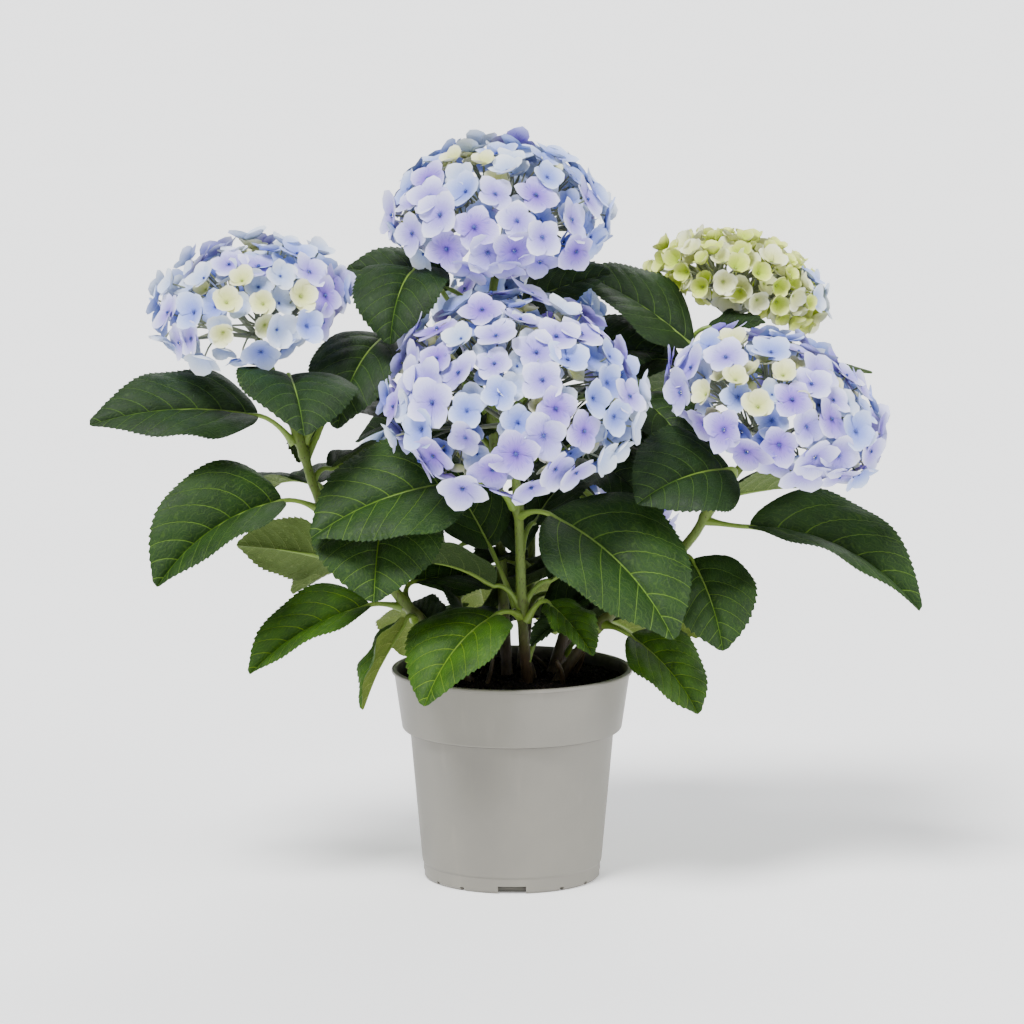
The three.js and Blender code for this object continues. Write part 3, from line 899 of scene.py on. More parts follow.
stub_draw = np.random.default_rng(17)
stubs = [stub_line(stub_draw) for _ in range(STUBS)]
cane_piece = grown("canes", chain_mesh("cane_lines", list(cane_lines.values()) + stubs), limbs,
                   Sides=CANE_SIDES, Relief=0.0011, Relief_Size=260.0,
                   Material=stem_green("cane_bark", soil_high.z + WOOD_FROM, soil_high.z + WOOD_TO))
ready(cane_piece, "stems", *["cane_" + kind for kind in kinds])

# %% [markdown]
# Many of a shrub's leaves stand inside, in the shade of the outer ones, and the frame holds no solids
# for them. They follow a rule: each cane has joints, a pair of leaves grows at each, and every pair is
# turned a quarter from the one below. A leaf that would touch another leaf, a head or the pot is tried
# again smaller and turned a little, and is left out when it still finds no room.

# %% Grow the shade leaves by a rule
SHADE_JOINTS = 9
SHADE_SHARES = (0.14, 0.95)
SHADE_LENGTHS = np.linspace(0.105, 0.055, 9)
SHADE_STALK = 0.26
SHADE_RINGS = 12
# how far out a shade leaf may reach at the rim's height, how much more for each metre above, and its top
SHADE_REACH = 0.094
SHADE_SPREAD = 0.42
SHADE_TOP = 0.44
APART = 0.006
CLEAR_OF_POT = 0.01
CLEAR_OF_BACK = 0.01
FROM_AXIS = 0.003
# how freely a shade leaf turns about its cane, and how it may rise, droop and roll
TURN_SPREAD = 0.35
RISES = (0.0, 0.8)
DROOPS = (0.3, 1.1)
ROLL_SPREAD = 0.3
CLOUD_ROWS = 11
CLOUD_SHARES = (-1, -0.5, 0, 0.5, 1)
pattern = max(leaves.values(), key=lambda leaf: leaf["length"])


def shade_leaf(start, turn, rise, droop, roll, length):
    """A leaf as read_leaf gives it: out from its start at a turn, rising first and drooping to its tip."""
    out, up = np.array([math.cos(turn), math.sin(turn), 0.0]), np.array([0.0, 0.0, 1.0])
    foot = start + SHADE_STALK * length * (out * math.cos(rise) + up * math.sin(rise))
    slopes = (rise - droop * np.linspace(0, 1, SHADE_RINGS - 1))[:, None]
    steps = (out * np.cos(slopes) + up * np.sin(slopes)) * length / (SHADE_RINGS - 1)
    midrib = np.vstack([foot, foot + np.cumsum(steps, axis=0)])
    right = np.cross(out, up) * math.cos(roll) + up * math.sin(roll)
    places = lengths_along(midrib)
    half = np.interp(places, pattern["places"], pattern["half"]) * length / pattern["length"]
    return {"stalk": np.array([start, (start + foot) / 2 + up * 0.05 * length, foot]), "places": places,
            "midrib": midrib, "right": np.tile(right, (SHADE_RINGS, 1)), "half": half,
            "fold": pattern["fold"], "length": length}


def leaf_cloud(leaf):
    """Points spread over a blade, for telling how close two blades are."""
    at = np.linspace(0, 1, CLOUD_ROWS)
    midrib, right = (threaded(leaf["places"], leaf[key], at) for key in ("midrib", "right"))
    half = np.interp(at, leaf["places"], leaf["half"])[:, None]
    return np.concatenate([midrib + right * half * share for share in CLOUD_SHARES])


def has_room(points, taken):
    """Whether a blade stays in the shrub's inside, clear of the pot, the heads and the taken points."""
    reach = SHADE_REACH + SHADE_SPREAD * (points[:, 2] - rim_top)
    inside = np.all(np.hypot(points[:, 0], points[:, 1]) < reach) and points[:, 2].max() < SHADE_TOP
    above_pot = points[:, 2].min() > rim_top + CLEAR_OF_POT
    in_depth = points[:, 1].min() > cad_low.y / 2 and points[:, 1].max() < cad_high.y - CLEAR_OF_BACK
    off_heads = all(np.linalg.norm(points - head["centre"], axis=1).min() > head["radius"]
                    for head in heads.values())
    if not (inside and above_pot and in_depth and off_heads):
        return False
    return np.linalg.norm(points[:, None] - taken[None], axis=2).min() > APART


shade_leaves = {}
taken = np.concatenate([leaf_cloud(leaf) for leaf in leaves.values()])
shade_draw = np.random.default_rng(23)
for kind in kinds:
    line = cane_lines[kind][0]
    places = lengths_along(line)
    first_turn = shade_draw.uniform(0, 2 * math.pi)
    for joint, share in enumerate(np.linspace(*SHADE_SHARES, SHADE_JOINTS)):
        centre = threaded(places, line, [share])[0]
        for half_turn in (0, math.pi):
            for length in SHADE_LENGTHS:
                turn = first_turn + joint * math.pi / 2 + half_turn + shade_draw.normal(0, TURN_SPREAD)
                rise, droop = shade_draw.uniform(*RISES), shade_draw.uniform(*DROOPS)
                start = centre + FROM_AXIS * np.array([math.cos(turn), math.sin(turn), 0])
                leaf = shade_leaf(start, turn, rise, droop, shade_draw.normal(0, ROLL_SPREAD), length)
                cloud = leaf_cloud(leaf)
                if has_room(cloud, taken):
                    shade_leaves[f"shade_{kind}_{joint}_{round(half_turn)}"] = leaf
                    taken = np.concatenate([taken, cloud])
                    break
print(len(shade_leaves), "shade leaves found room")

# %% [markdown]
# A leaf's stalk is pale green and thick where it clasps the cane, and it runs on under the blade
# as its midrib. Its line is the one curve that passes the solid's three stalk points.

# %% Grow the stalks
STALK_POINTS = 14
RIB_POINTS = 8
STALK_CLASP = 0.0034
STALK_RADIUS = 0.0019
RIB_TIP_RADIUS = 0.0005
RIB_REACH = 0.55
RIB_SINK = 0.0014
INTO_CANE = 0.004


def upper_side(leaf):
    """The way that each point of the midrib faces."""
    along = unit(np.gradient(leaf["midrib"], axis=0))
    return unit(np.cross(leaf["right"], along))


def stalk_line(leaf):
    """From just inside the cane, along the stalk, and on along the underside of the blade."""
    start, half_way, foot = leaf["stalk"]
    pull = 2 * half_way - (start + foot) / 2
    part = np.linspace(0, 1, STALK_POINTS)[:, None]
    stalk = (1 - part) ** 2 * start + 2 * part * (1 - part) * pull + part**2 * foot
    inside = start + unit(start - stalk[1]) * INTO_CANE
    rib_at = np.linspace(0, RIB_REACH, RIB_POINTS + 1)[1:]
    sunk = threaded(leaf["places"], leaf["midrib"] - upper_side(leaf) * RIB_SINK, rib_at)
    radius = np.concatenate([
        [STALK_CLASP * 1.15],
        STALK_RADIUS + (STALK_CLASP - STALK_RADIUS) * (1 - part[:, 0]) ** 5,
        np.linspace(STALK_RADIUS * 0.9, RIB_TIP_RADIUS, RIB_POINTS),
    ])
    return np.vstack([inside, stalk, sunk]), radius


def stalk_green():
    """Pale juicy green, a little darker in places, with a fine grain."""
    material, tree, shader = surface("stalk_green", roughness=0.42, specular=0.45)
    place = object_place(tree)
    tone = blend(tree, noise(tree, place, 45.0), srgb(88, 118, 34), srgb(132, 156, 66))
    paint(tree, shader, Base_Color=tone, Normal=bumped(tree, noise(tree, place, 700.0, 2.0), 0.0003))
    return material


stalk_material = stalk_green()
stalk_lines = [stalk_line(leaf) for leaf in [*leaves.values(), *shade_leaves.values()]]
leaf_stalks = grown("leaf_stalks", chain_mesh("stalk_lines", stalk_lines),
                    limbs, Sides=10, Relief=0.0003, Relief_Size=300.0, Material=stalk_material)
ready(leaf_stalks, "leaves")

# %% [markdown]
# ## The leaves
# A hydrangea leaf is broad and oval with a short drawn-out tip. Small teeth on its margin point
# forward, its veins leave the midrib in arching pairs, and the blade is quilted: it bulges up between
# the veins. One rule says where the veins run. The mesh uses it to bulge, and the colours use it to
# draw the lines, so both agree. Each blade is a thin closed solid with its own upper and under side.

# %% The rule for veins
VEIN_COUNT = 7.0
VEIN_SPREAD = 0.34
VEIN_SLANT = 0.62
VEIN_CURL = 1.1
FLAT_HALF = 0.38


def vein_phase(along, out, is_right):
    """Counts veins along the midrib. Along is 0 to 1, and out is the distance from it in lengths."""
    start = along - out * (VEIN_SPREAD + VEIN_SLANT * along) - VEIN_CURL * out**2
    return VEIN_COUNT * start + 0.5 * is_right


# %% Shape one blade
TOOTH_LENGTH = 0.0042
TOOTH_DEPTH = 0.0012
TOOTH_LEAN = 0.0014
ROWS_PER_TOOTH = 3
HALF_COLUMNS = 10
BLADE_THICKNESS = 0.0006
GROOVE_DEPTH = 0.0011
GROOVE_WIDTH = 0.0022
QUILT_HEIGHT = 0.0016
# how full a bulge is, and how near it comes to the midrib and to the margin, as shares of the half width
QUILT_FULLNESS = 0.7
QUILT_OFF_RIB = 0.12
QUILT_OFF_MARGIN = 0.25
ARCH = 0.30
WAVE = 0.0026
SWINGS = (1.6, 2.6)
SIDE_SHIFT = 1.7
TOOTH_SIZES = (0.75, 1.2)
# columns crowd towards the midrib, and the last but one follows the teeth a little
COLUMN_POWER = 1.25
BESIDE_MARGIN = 0.85


def blade_grid(leaf, seed):
    """The upper surface as rows of points, the direction that is down for each, and its flat plan."""
    draw = np.random.default_rng(seed)
    teeth = max(8, round(leaf["length"] / TOOTH_LENGTH))
    rows = ROWS_PER_TOOTH * teeth + 1
    at = np.linspace(0.004, 1, rows)
    columns = np.linspace(-1, 1, 2 * HALF_COLUMNS + 1)
    side = np.sign(columns) * np.abs(columns) ** COLUMN_POWER
    midrib = threaded(leaf["places"], leaf["midrib"], at)
    right = unit(threaded(leaf["places"], leaf["right"], at))
    along = unit(np.gradient(midrib, axis=0))
    above = unit(np.cross(right, along))
    half = np.sqrt(np.maximum(threaded(leaf["places"], leaf["half"] ** 2, at), 1e-8))
    widest = half.max()
    flat = half / widest * FLAT_HALF

    out = np.abs(side)[None, :] * np.ones((rows, 1))
    width = half[:, None]
    along_share = at[:, None] * np.ones_like(out)
    phase = vein_phase(along_share, out * flat[:, None], (side > 0)[None, :])
    bulge = np.abs(np.sin(math.pi * phase)) ** QUILT_FULLNESS
    window = np.clip(out / QUILT_OFF_RIB, 0, 1) * np.clip((1 - out) / QUILT_OFF_MARGIN, 0, 1)
    fold = math.sin(leaf["fold"]) * out * width
    arch = ARCH * width * (out - out**2)
    groove = -GROOVE_DEPTH * np.exp(-((out * width / GROOVE_WIDTH) ** 2))
    quilt = QUILT_HEIGHT * bulge * window * (width / widest)
    swings, shift = draw.uniform(*SWINGS), draw.uniform(0, 2 * math.pi)
    sway = 2 * math.pi * swings * along_share + shift + SIDE_SHIFT * np.sign(side)[None, :]
    wave = WAVE * out**2 * np.sin(sway)
    height = fold + arch + groove + quilt + wave * (width / widest)

    tooth = (np.arange(rows) % ROWS_PER_TOOTH) / (ROWS_PER_TOOTH - 1)
    tooth = tooth * np.clip(half / widest * 1.6, 0, 1) * draw.uniform(*TOOTH_SIZES, rows)
    edge = np.where(out > 0.999, 1.0, np.where(out > BESIDE_MARGIN, 0.25, 0.0))
    sideways = side[None, :] * width * math.cos(leaf["fold"])
    sideways = sideways + np.sign(side)[None, :] * edge * tooth[:, None] * TOOTH_DEPTH
    forward = edge * tooth[:, None] * TOOTH_LEAN
    points = (midrib[:, None] + right[:, None] * sideways[..., None]
              + above[:, None] * height[..., None] + along[:, None] * forward[..., None])
    plan = np.stack([along_share, side[None, :] * flat[:, None]], axis=2)
    return points, -above[:, None] * np.ones_like(points), plan


# %% Close sheets into thin solids
TOP_CELL = (0.02, 0.96, 0.25)
UNDER_CELL = (0.02, 0.96, 0.75)
CELL_HALF = 0.23


def in_cell(plan, cell):
    """A blade's flat plan, laid in its half of the map."""
    start, length, centre = cell
    return np.stack([start + length * plan[..., 0], centre + CELL_HALF / FLAT_HALF * plan[..., 1]], axis=-1)


def closed_sheet(points, down, thickness, upper_map, under_map):
    """A grid of points made into a thin solid: its underside shares the rim, so it closes."""
    rows, columns = points.shape[:2]
    top = np.arange(rows * columns).reshape(rows, columns)
    under = top.copy()
    inner = np.arange((rows - 2) * (columns - 2)).reshape(rows - 2, columns - 2)
    under[1:-1, 1:-1] = rows * columns + inner
    lowered = points[1:-1, 1:-1] + down[1:-1, 1:-1] * thickness
    vertices = np.concatenate([points.reshape(-1, 3), lowered.reshape(-1, 3)])

    def quads(grid):
        """The four corners of every cell of a grid."""
        cells = [grid[:-1, :-1], grid[:-1, 1:], grid[1:, 1:], grid[1:, :-1]]
        return np.stack(cells, axis=2).reshape(-1, 4, *grid.shape[2:])

    faces = np.concatenate([quads(top), quads(under)[:, ::-1]])
    places = np.concatenate([quads(upper_map), quads(under_map)[:, ::-1]])
    kind = np.repeat([0, 1], len(faces) // 2)
    return vertices, faces, places, kind


RIM_ANGLE = math.radians(70)


def sheets_mesh(name, sheets, materials):
    """Many closed sheets as one mesh, with the map that its patterns are drawn on."""
    vertices, faces, places, kinds_of_face, first = [], [], [], [], 0
    for sheet in sheets:
        vertices.append(sheet[0])
        faces.append(sheet[1] + first)
        places.append(sheet[2])
        kinds_of_face.append(sheet[3])
        first += len(sheet[0])
    mesh = bpy.data.meshes.new(name)
    mesh.from_pydata(np.concatenate(vertices).tolist(), [], np.concatenate(faces).tolist())
    uv = mesh.uv_layers.new(name="OFBake")
    uv.data.foreach_set("uv", np.concatenate(places).astype(np.float32).ravel())
    mesh.polygons.foreach_set("material_index", np.concatenate(kinds_of_face).astype(np.int32))
    for material in materials:
        mesh.materials.append(material)
    mesh.shade_smooth()
    mesh.set_sharp_from_angle(angle=RIM_ANGLE)
    return mesh


# %% [markdown]
# The leaf's colours are drawn on the same flat plan. The midrib and the side veins come from the rule
# above, written once more as nodes. Fine veins cross from one side vein to the next like the rungs of a
# ladder, shifted in every bay, and the finest net between them is the edges of a Voronoi pattern.
# The upper side is a deep matt green, and the under side is pale olive with its veins raised.

# %% Leaf colours
RIB_HALF = 0.0095
VEIN_HALF = 0.0052
RUNGS = 30.0
NET_SIZE = 64.0


def leaf_lines(tree, cell):
    """The flat plan's place, and how far a point is on the midrib, a side vein or the net."""
    start, length, centre = cell
    uv = add(tree, "ShaderNodeUVMap", uv_map="OFBake").outputs[0]
    x, y, _ = add(tree, "ShaderNodeSeparateXYZ", {0: uv}).outputs
    along = calc(tree, "DIVIDE", calc(tree, "SUBTRACT", x, start), length)
    across = calc(tree, "MULTIPLY", calc(tree, "SUBTRACT", y, centre), FLAT_HALF / CELL_HALF)
    out = calc(tree, "ABSOLUTE", across)
    slant = calc(tree, "MULTIPLY_ADD", along, VEIN_SLANT, VEIN_SPREAD)
    curl = calc(tree, "MULTIPLY", calc(tree, "MULTIPLY", out, out), VEIN_CURL)
    foot = calc(tree, "SUBTRACT", calc(tree, "SUBTRACT", along, calc(tree, "MULTIPLY", out, slant)), curl)
    shift = calc(tree, "MULTIPLY", calc(tree, "GREATER_THAN", across, 0.0), 0.5)
    phase = calc(tree, "FRACT", calc(tree, "ADD", calc(tree, "MULTIPLY_ADD", foot, VEIN_COUNT, shift), 0.5))
    off = calc(tree, "ABSOLUTE", calc(tree, "SUBTRACT", phase, 0.5))
    gap = calc(tree, "MULTIPLY", off, 0.8 / VEIN_COUNT)
    half = calc(tree, "MULTIPLY", calc(tree, "SUBTRACT", 1.0, calc(tree, "MULTIPLY", out, 1.7)), VEIN_HALF)
    vein = fade(tree, gap, calc(tree, "MULTIPLY", half, 0.25), half, 1.0, 0.0)
    vein = calc(tree, "MULTIPLY", vein, fade(tree, foot, 0.0, 0.03))
    rib_half = calc(tree, "MULTIPLY", calc(tree, "SUBTRACT", 1.15, along), RIB_HALF)
    rib = fade(tree, out, calc(tree, "MULTIPLY", rib_half, 0.4), rib_half, 1.0, 0.0)
    flat = add(tree, "ShaderNodeCombineXYZ", {0: along, 1: across}).outputs[0]
    bay = calc(tree, "FLOOR", calc(tree, "MULTIPLY_ADD", foot, VEIN_COUNT, shift))
    wiggle = calc(tree, "MULTIPLY", noise(tree, flat, 13.0, 2.0), 4.5)
    rung = calc(tree, "ADD", calc(tree, "MULTIPLY_ADD", across, RUNGS, wiggle),
                calc(tree, "MULTIPLY", bay, 0.37))
    rung_gap = calc(tree, "ABSOLUTE", calc(tree, "SUBTRACT", calc(tree, "FRACT", rung), 0.5))
    cells = add(tree, "ShaderNodeTexVoronoi", {"Vector": flat, "Scale": NET_SIZE},
                feature="DISTANCE_TO_EDGE").outputs["Distance"]
    net = calc(tree, "MAXIMUM", fade(tree, rung_gap, 0.03, 0.15, 1.0, 0.0),
               calc(tree, "MULTIPLY", fade(tree, cells, 0.0, 0.16, 1.0, 0.0), 0.45))
    return flat, rib, vein, net


def leaf_upper(name, deep, light, lines):
    """Mottled green with paler lines, and a relief that sinks along them."""
    material, tree, shader = surface(name, roughness=0.5, specular=0.24)
    flat, rib, vein, net = leaf_lines(tree, TOP_CELL)
    mottle = noise(tree, flat, 5.0, 2.0)
    blade = blend(tree, fade(tree, mottle, 0.3, 0.7), deep, light)
    netted = blend(tree, calc(tree, "MULTIPLY", net, 0.15), blade, lines)
    veined = blend(tree, calc(tree, "MULTIPLY", vein, 0.62), netted, lines)
    ribbed = blend(tree, calc(tree, "MULTIPLY", rib, 0.95), veined, lines)
    relief = calc(tree, "SUBTRACT", 1.0, calc(tree, "MAXIMUM", vein, calc(tree, "MULTIPLY", net, 0.4)))
    grain = noise(tree, flat, 420.0, 2.0)
    normal = bumped(tree, grain, 0.00012, under=bumped(tree, relief, 0.0005))
    paint(tree, shader, Base_Color=ribbed, Normal=normal,
          Roughness=fade(tree, mottle, 0.2, 0.8, 0.46, 0.60))
    return material


def leaf_under(name, tone, lines):
    """Pale olive, with its veins raised."""
    material, tree, shader = surface(name, roughness=0.62, specular=0.25)
    _, rib, vein, net = leaf_lines(tree, UNDER_CELL)
    netted = blend(tree, calc(tree, "MULTIPLY", net, 0.4), tone, lines)
    veined = blend(tree, calc(tree, "MAXIMUM", rib, vein), netted, lines)
    relief = calc(tree, "MAXIMUM", calc(tree, "MAXIMUM", vein, rib), calc(tree, "MULTIPLY", net, 0.5))
    paint(tree, shader, Base_Color=veined, Normal=bumped(tree, relief, 0.0009))
    return material


# %% Grow the leaves in their greens
FRESH_BELOW = 0.235
MIDDLE_BELOW = 0.33
LEAF_TONES = {
    # the blade's deeper and lighter green, then its lines
    "fresh": (srgb(27, 59, 1), srgb(45, 81, 2), srgb(118, 152, 34)),
    "middle": (srgb(16, 42, 6), srgb(25, 54, 9), srgb(100, 134, 42)),
    "deep": (srgb(14, 34, 8), srgb(21, 45, 11), srgb(80, 112, 38)),
    "shade": (srgb(17, 38, 9), srgb(25, 48, 12), srgb(76, 106, 36)),
}
UNDER_TONES = {
    # the under side, then its lines
    "fresh": (srgb(96, 116, 40), srgb(140, 156, 76)),
    "middle": (srgb(78, 98, 42), srgb(120, 138, 74)),
    "deep": (srgb(62, 84, 38), srgb(104, 124, 66)),
    "shade": (srgb(44, 64, 26), srgb(80, 100, 50)),
}


def tone_of(name):
    """Of the outer leaves, the lowest are the freshest green, and the highest the deepest."""
    if name in shade_leaves:
        return "shade"
    height = leaves[name]["midrib"][0][2]
    return "fresh" if height < FRESH_BELOW else "middle" if height < MIDDLE_BELOW else "deep"


all_leaves = {**leaves, **shade_leaves}
leaf_order = list(all_leaves)
for tone, tones in LEAF_TONES.items():
    chosen = [name for name in leaf_order if tone_of(name) == tone]
    sheets = []
    for name in chosen:
        points, down, plan = blade_grid(all_leaves[name], seed=leaf_order.index(name))
        sheets.append(closed_sheet(points, down, BLADE_THICKNESS, in_cell(plan, TOP_CELL),
                                   in_cell(plan, UNDER_CELL)))
    finishes = [leaf_upper(f"leaf_{tone}_upper", *tones),
                leaf_under(f"leaf_{tone}_under", *UNDER_TONES[tone])]
    piece = linked(f"leaves_{tone}", sheets_mesh(f"leaves_{tone}", sheets, finishes))
    ready(piece, "leaves", *[name for name in chosen if name in leaves])

# %% [markdown]
# ## The flower heads
# A mophead is a dome of some hundred florets. What looks like four petals are sepals: broad, overlapping
# and coloured, round a tiny closed flower like a bead. One sepal follows a formula, as a thin closed
# sheet of a few dozen faces. A growth tree then sets sepals in a ring to make a floret, in three random
# versions, and puts a floret on every point, facing the way that the dome faces there.

# %% One sepal
SEPAL_ROWS = 5
SEPAL_COLUMNS = 7
SEPAL_HALF_ANGLE = math.radians(60)
SEPAL_THICKNESS = 0.012
SEPAL_TWIST = 0.07
SEPAL_RIPPLE = 0.035
POINT_WIDTH = 0.25
CLAW = 0.06
BEAD_RADIUS = 0.075


def sepal_template(name, cup, droop, point):
    """A sepal of length 1 that points along +X. It cups up, its sides droop, and one side lies higher."""
    shares = np.linspace(-1, 1, SEPAL_COLUMNS)
    angles = shares * SEPAL_HALF_ANGLE
    middle_out, round_out = 0.46, 0.54
    reach = middle_out * np.cos(angles) + np.sqrt(round_out**2 - (middle_out * np.sin(angles)) ** 2)
    reach = reach * (1 + point * (np.exp(-((shares / POINT_WIDTH) ** 2)) - 1))
    rows = np.linspace(0, 1, SEPAL_ROWS) ** 0.8
    out = CLAW + (reach[None, :] - CLAW) * rows[:, None]
    x, y = out * np.cos(angles), out * np.sin(angles)
    height = cup * out**2 - droop * shares[None, :] ** 2 * out + SEPAL_TWIST * shares[None, :] * out
    height = height + SEPAL_RIPPLE * np.sin(6 * out + 4 * shares[None, :]) * out
    points = np.stack([x, y, height], axis=2)
    down = np.zeros_like(points)
    down[..., 2] = -1
    plan = np.stack([0.5 + 0.46 * y / 0.6, 0.03 + 0.92 * out], axis=2)
    vertices, faces, places, _ = closed_sheet(points, down, SEPAL_THICKNESS, plan, plan)
    sheet = (vertices, faces, places, np.zeros(len(faces), int))
    return linked(name, sheets_mesh(name, [sheet], []))


def bead_template(name):
    """The closed flower in the middle: a squat bud of a few faces."""
    mesh = bpy.data.meshes.new(name)
    shape = bmesh.new()
    bmesh.ops.create_icosphere(shape, subdivisions=1, radius=BEAD_RADIUS)
    bmesh.ops.scale(shape, vec=(1, 1, 0.85), verts=shape.verts)
    bmesh.ops.translate(shape, vec=(0, 0, 0.07), verts=shape.verts)
    shape.to_mesh(mesh)
    shape.free()
    mesh.shade_smooth()
    return linked(name, mesh)


# %% A tree that makes florets and sets them on points
FLORET_VERSIONS = 3


def random_number(tree, low, high, seed):
    """A number between low and high for each point."""
    return add(tree, "FunctionNodeRandomValue", {2: low, 3: high, 8: seed}, data_type="FLOAT").outputs[1]


def facing_turn(tree, seed):
    """The turn that makes +Z look along the point's facing, with a random spin."""
    facing = add(tree, "GeometryNodeInputNamedAttribute", {"Name": "facing"}, data_type="FLOAT_VECTOR")
    aligned = add(tree, "FunctionNodeAlignRotationToVector", {"Vector": facing.outputs[0]}, axis="Z")
    spin = random_number(tree, 0.0, 2 * math.pi, seed)
    about = add(tree, "FunctionNodeAxisAngleToRotation", {"Axis": (0, 0, 1), "Angle": spin})
    return add(tree, "FunctionNodeRotateRotation",
               {"Rotation": aligned.outputs[0], "Rotate By": about.outputs[0]},
               rotation_space="LOCAL").outputs[0]


def floret_tree():
    """Sepals in a ring make a floret, and every point gets one of a few versions of it."""
    tree, given = growth_tree("florets", Sepals="int", Tilt="float", Looseness="float", Seed="int",
                              Sepal="object", Material="material")
    sepal = add(tree, "GeometryNodeObjectInfo", {"Object": given["Sepal"], "As Instance": True})
    index = add(tree, "GeometryNodeInputIndex").outputs[0]
    step = calc(tree, "DIVIDE", 2 * math.pi, given["Sepals"])
    turn = calc(tree, "MULTIPLY", index, step)
    loose = given["Looseness"]
    tight = calc(tree, "MULTIPLY", loose, -1.0)
    versions = add(tree, "GeometryNodeJoinGeometry")
    for version in range(FLORET_VERSIONS):
        seed = calc(tree, "ADD", given["Seed"], 7.0 * version)
        ring = add(tree, "GeometryNodePoints", {"Count": given["Sepals"]}).outputs[0]
        spin = random_number(tree, tight, loose, seed)
        lift = random_number(tree, tight, loose, calc(tree, "ADD", seed, 1.0))
        size = random_number(tree, 0.88, 1.06, calc(tree, "ADD", seed, 2.0))
        pitch = calc(tree, "MULTIPLY", calc(tree, "ADD", given["Tilt"], lift), -1.0)
        angles = add(tree, "ShaderNodeCombineXYZ", {1: pitch, 2: calc(tree, "ADD", turn, spin)}).outputs[0]
        euler = add(tree, "FunctionNodeEulerToRotation", {"Euler": angles}).outputs[0]
        placed = add(tree, "GeometryNodeInstanceOnPoints", {
            "Points": ring, "Instance": sepal.outputs["Geometry"], "Rotation": euler, "Scale": size})
        floret = add(tree, "GeometryNodeGeometryToInstance", {"Geometry": placed.outputs[0]}).outputs[0]
        tree.links.new(floret, versions.inputs[0])
    pick = add(tree, "FunctionNodeRandomValue", {4: 0, 5: FLORET_VERSIONS - 1, 8: given["Seed"]},
               data_type="INT").outputs[2]
    size = add(tree, "GeometryNodeInputNamedAttribute", {"Name": "size"}, data_type="FLOAT").outputs[0]
    placed = add(tree, "GeometryNodeInstanceOnPoints", {
        "Points": given["Geometry"], "Instance": versions.outputs[0], "Pick Instance": True,
        "Instance Index": pick, "Rotation": facing_turn(tree, given["Seed"]), "Scale": size})
    finish_tree(tree, placed.outputs[0], given["Material"])
    return tree


def setting_tree():
    """One copy of a shape on every point, facing the point's way, as large as its size says."""
    tree, given = growth_tree("setting", Shape="object", Seed="int", Material="material")
    shape = add(tree, "GeometryNodeObjectInfo", {"Object": given["Shape"], "As Instance": True})
    size = add(tree, "GeometryNodeInputNamedAttribute", {"Name": "size"}, data_type="FLOAT").outputs[0]
    placed = add(tree, "GeometryNodeInstanceOnPoints", {
        "Points": given["Geometry"], "Instance": shape.outputs["Geometry"],
        "Rotation": facing_turn(tree, given["Seed"]), "Scale": size})
    finish_tree(tree, placed.outputs[0], given["Material"])
    return tree


florets_grow = floret_tree()
beads_grow = setting_tree()


def points_mesh(name, points, facing, sizes):
    """Loose points that know which way they face and how large their floret is."""
    mesh = bpy.data.meshes.new(name)
    mesh.from_pydata(np.asarray(points).tolist(), [], [])
    turned = mesh.attributes.new("facing", "FLOAT_VECTOR", "POINT")
    turned.data.foreach_set("vector", np.asarray(facing, np.float32).ravel())
    scaled = mesh.attributes.new("size", "FLOAT", "POINT")
    scaled.data.foreach_set("value", np.asarray(sizes, np.float32))
    return mesh


# %% [markdown]
# Florets change colour as they ripen: green buds, then cream, icy blue, blue, and at last lilac and
# violet with a strong heart. Each of these tints is a piece of its own, and each head says how much of
# each it holds and where it keeps a patch of younger ones. A sepal's heart, its paler margin and its
# fine rays are drawn on its own small map, so every sepal has them.

# %% Sepal colours
def sepal_skin(name, heart, flush, body, margin, ray):
    """From the heart through its flush and the body out to the margin, with fine rays."""
    material, tree, shader = surface(name, roughness=0.6, specular=0.2)
    uv = add(tree, "ShaderNodeUVMap", uv_map="OFBake").outputs[0]
    x, y, _ = add(tree, "ShaderNodeSeparateXYZ", {0: uv}).outputs
    sideways = calc(tree, "SUBTRACT", x, 0.5)
    fan = calc(tree, "DIVIDE", sideways, calc(tree, "ADD", y, 0.08))
    flow = add(tree, "ShaderNodeCombineXYZ", {0: calc(tree, "MULTIPLY", fan, 9.0),
                                              1: calc(tree, "MULTIPLY", y, 1.2)}).outputs[0]
    streaks = noise(tree, flow, 2.6, 4.0)
    wander = calc(tree, "ADD", y, calc(tree, "MULTIPLY", calc(tree, "SUBTRACT", streaks, 0.5), 0.45))
    hearted = blend(tree, fade(tree, wander, 0.06, 0.26), heart, flush)
    inner = blend(tree, fade(tree, wander, 0.20, 0.74), hearted, body)
    outer = blend(tree, fade(tree, wander, 0.62, 1.02), inner, margin)
    rays = calc(tree, "MULTIPLY", fade(tree, streaks, 0.50, 0.64), fade(tree, y, 1.0, 0.3, 0.0, 0.8))
    height = calc(tree, "MULTIPLY", streaks, fade(tree, y, 0.0, 0.4))
    paint(tree, shader, Base_Color=blend(tree, rays, outer, ray), Normal=bumped(tree, height, 0.0006))
    shader.inputs["Sheen Weight"].default_value = 0.15
    return material


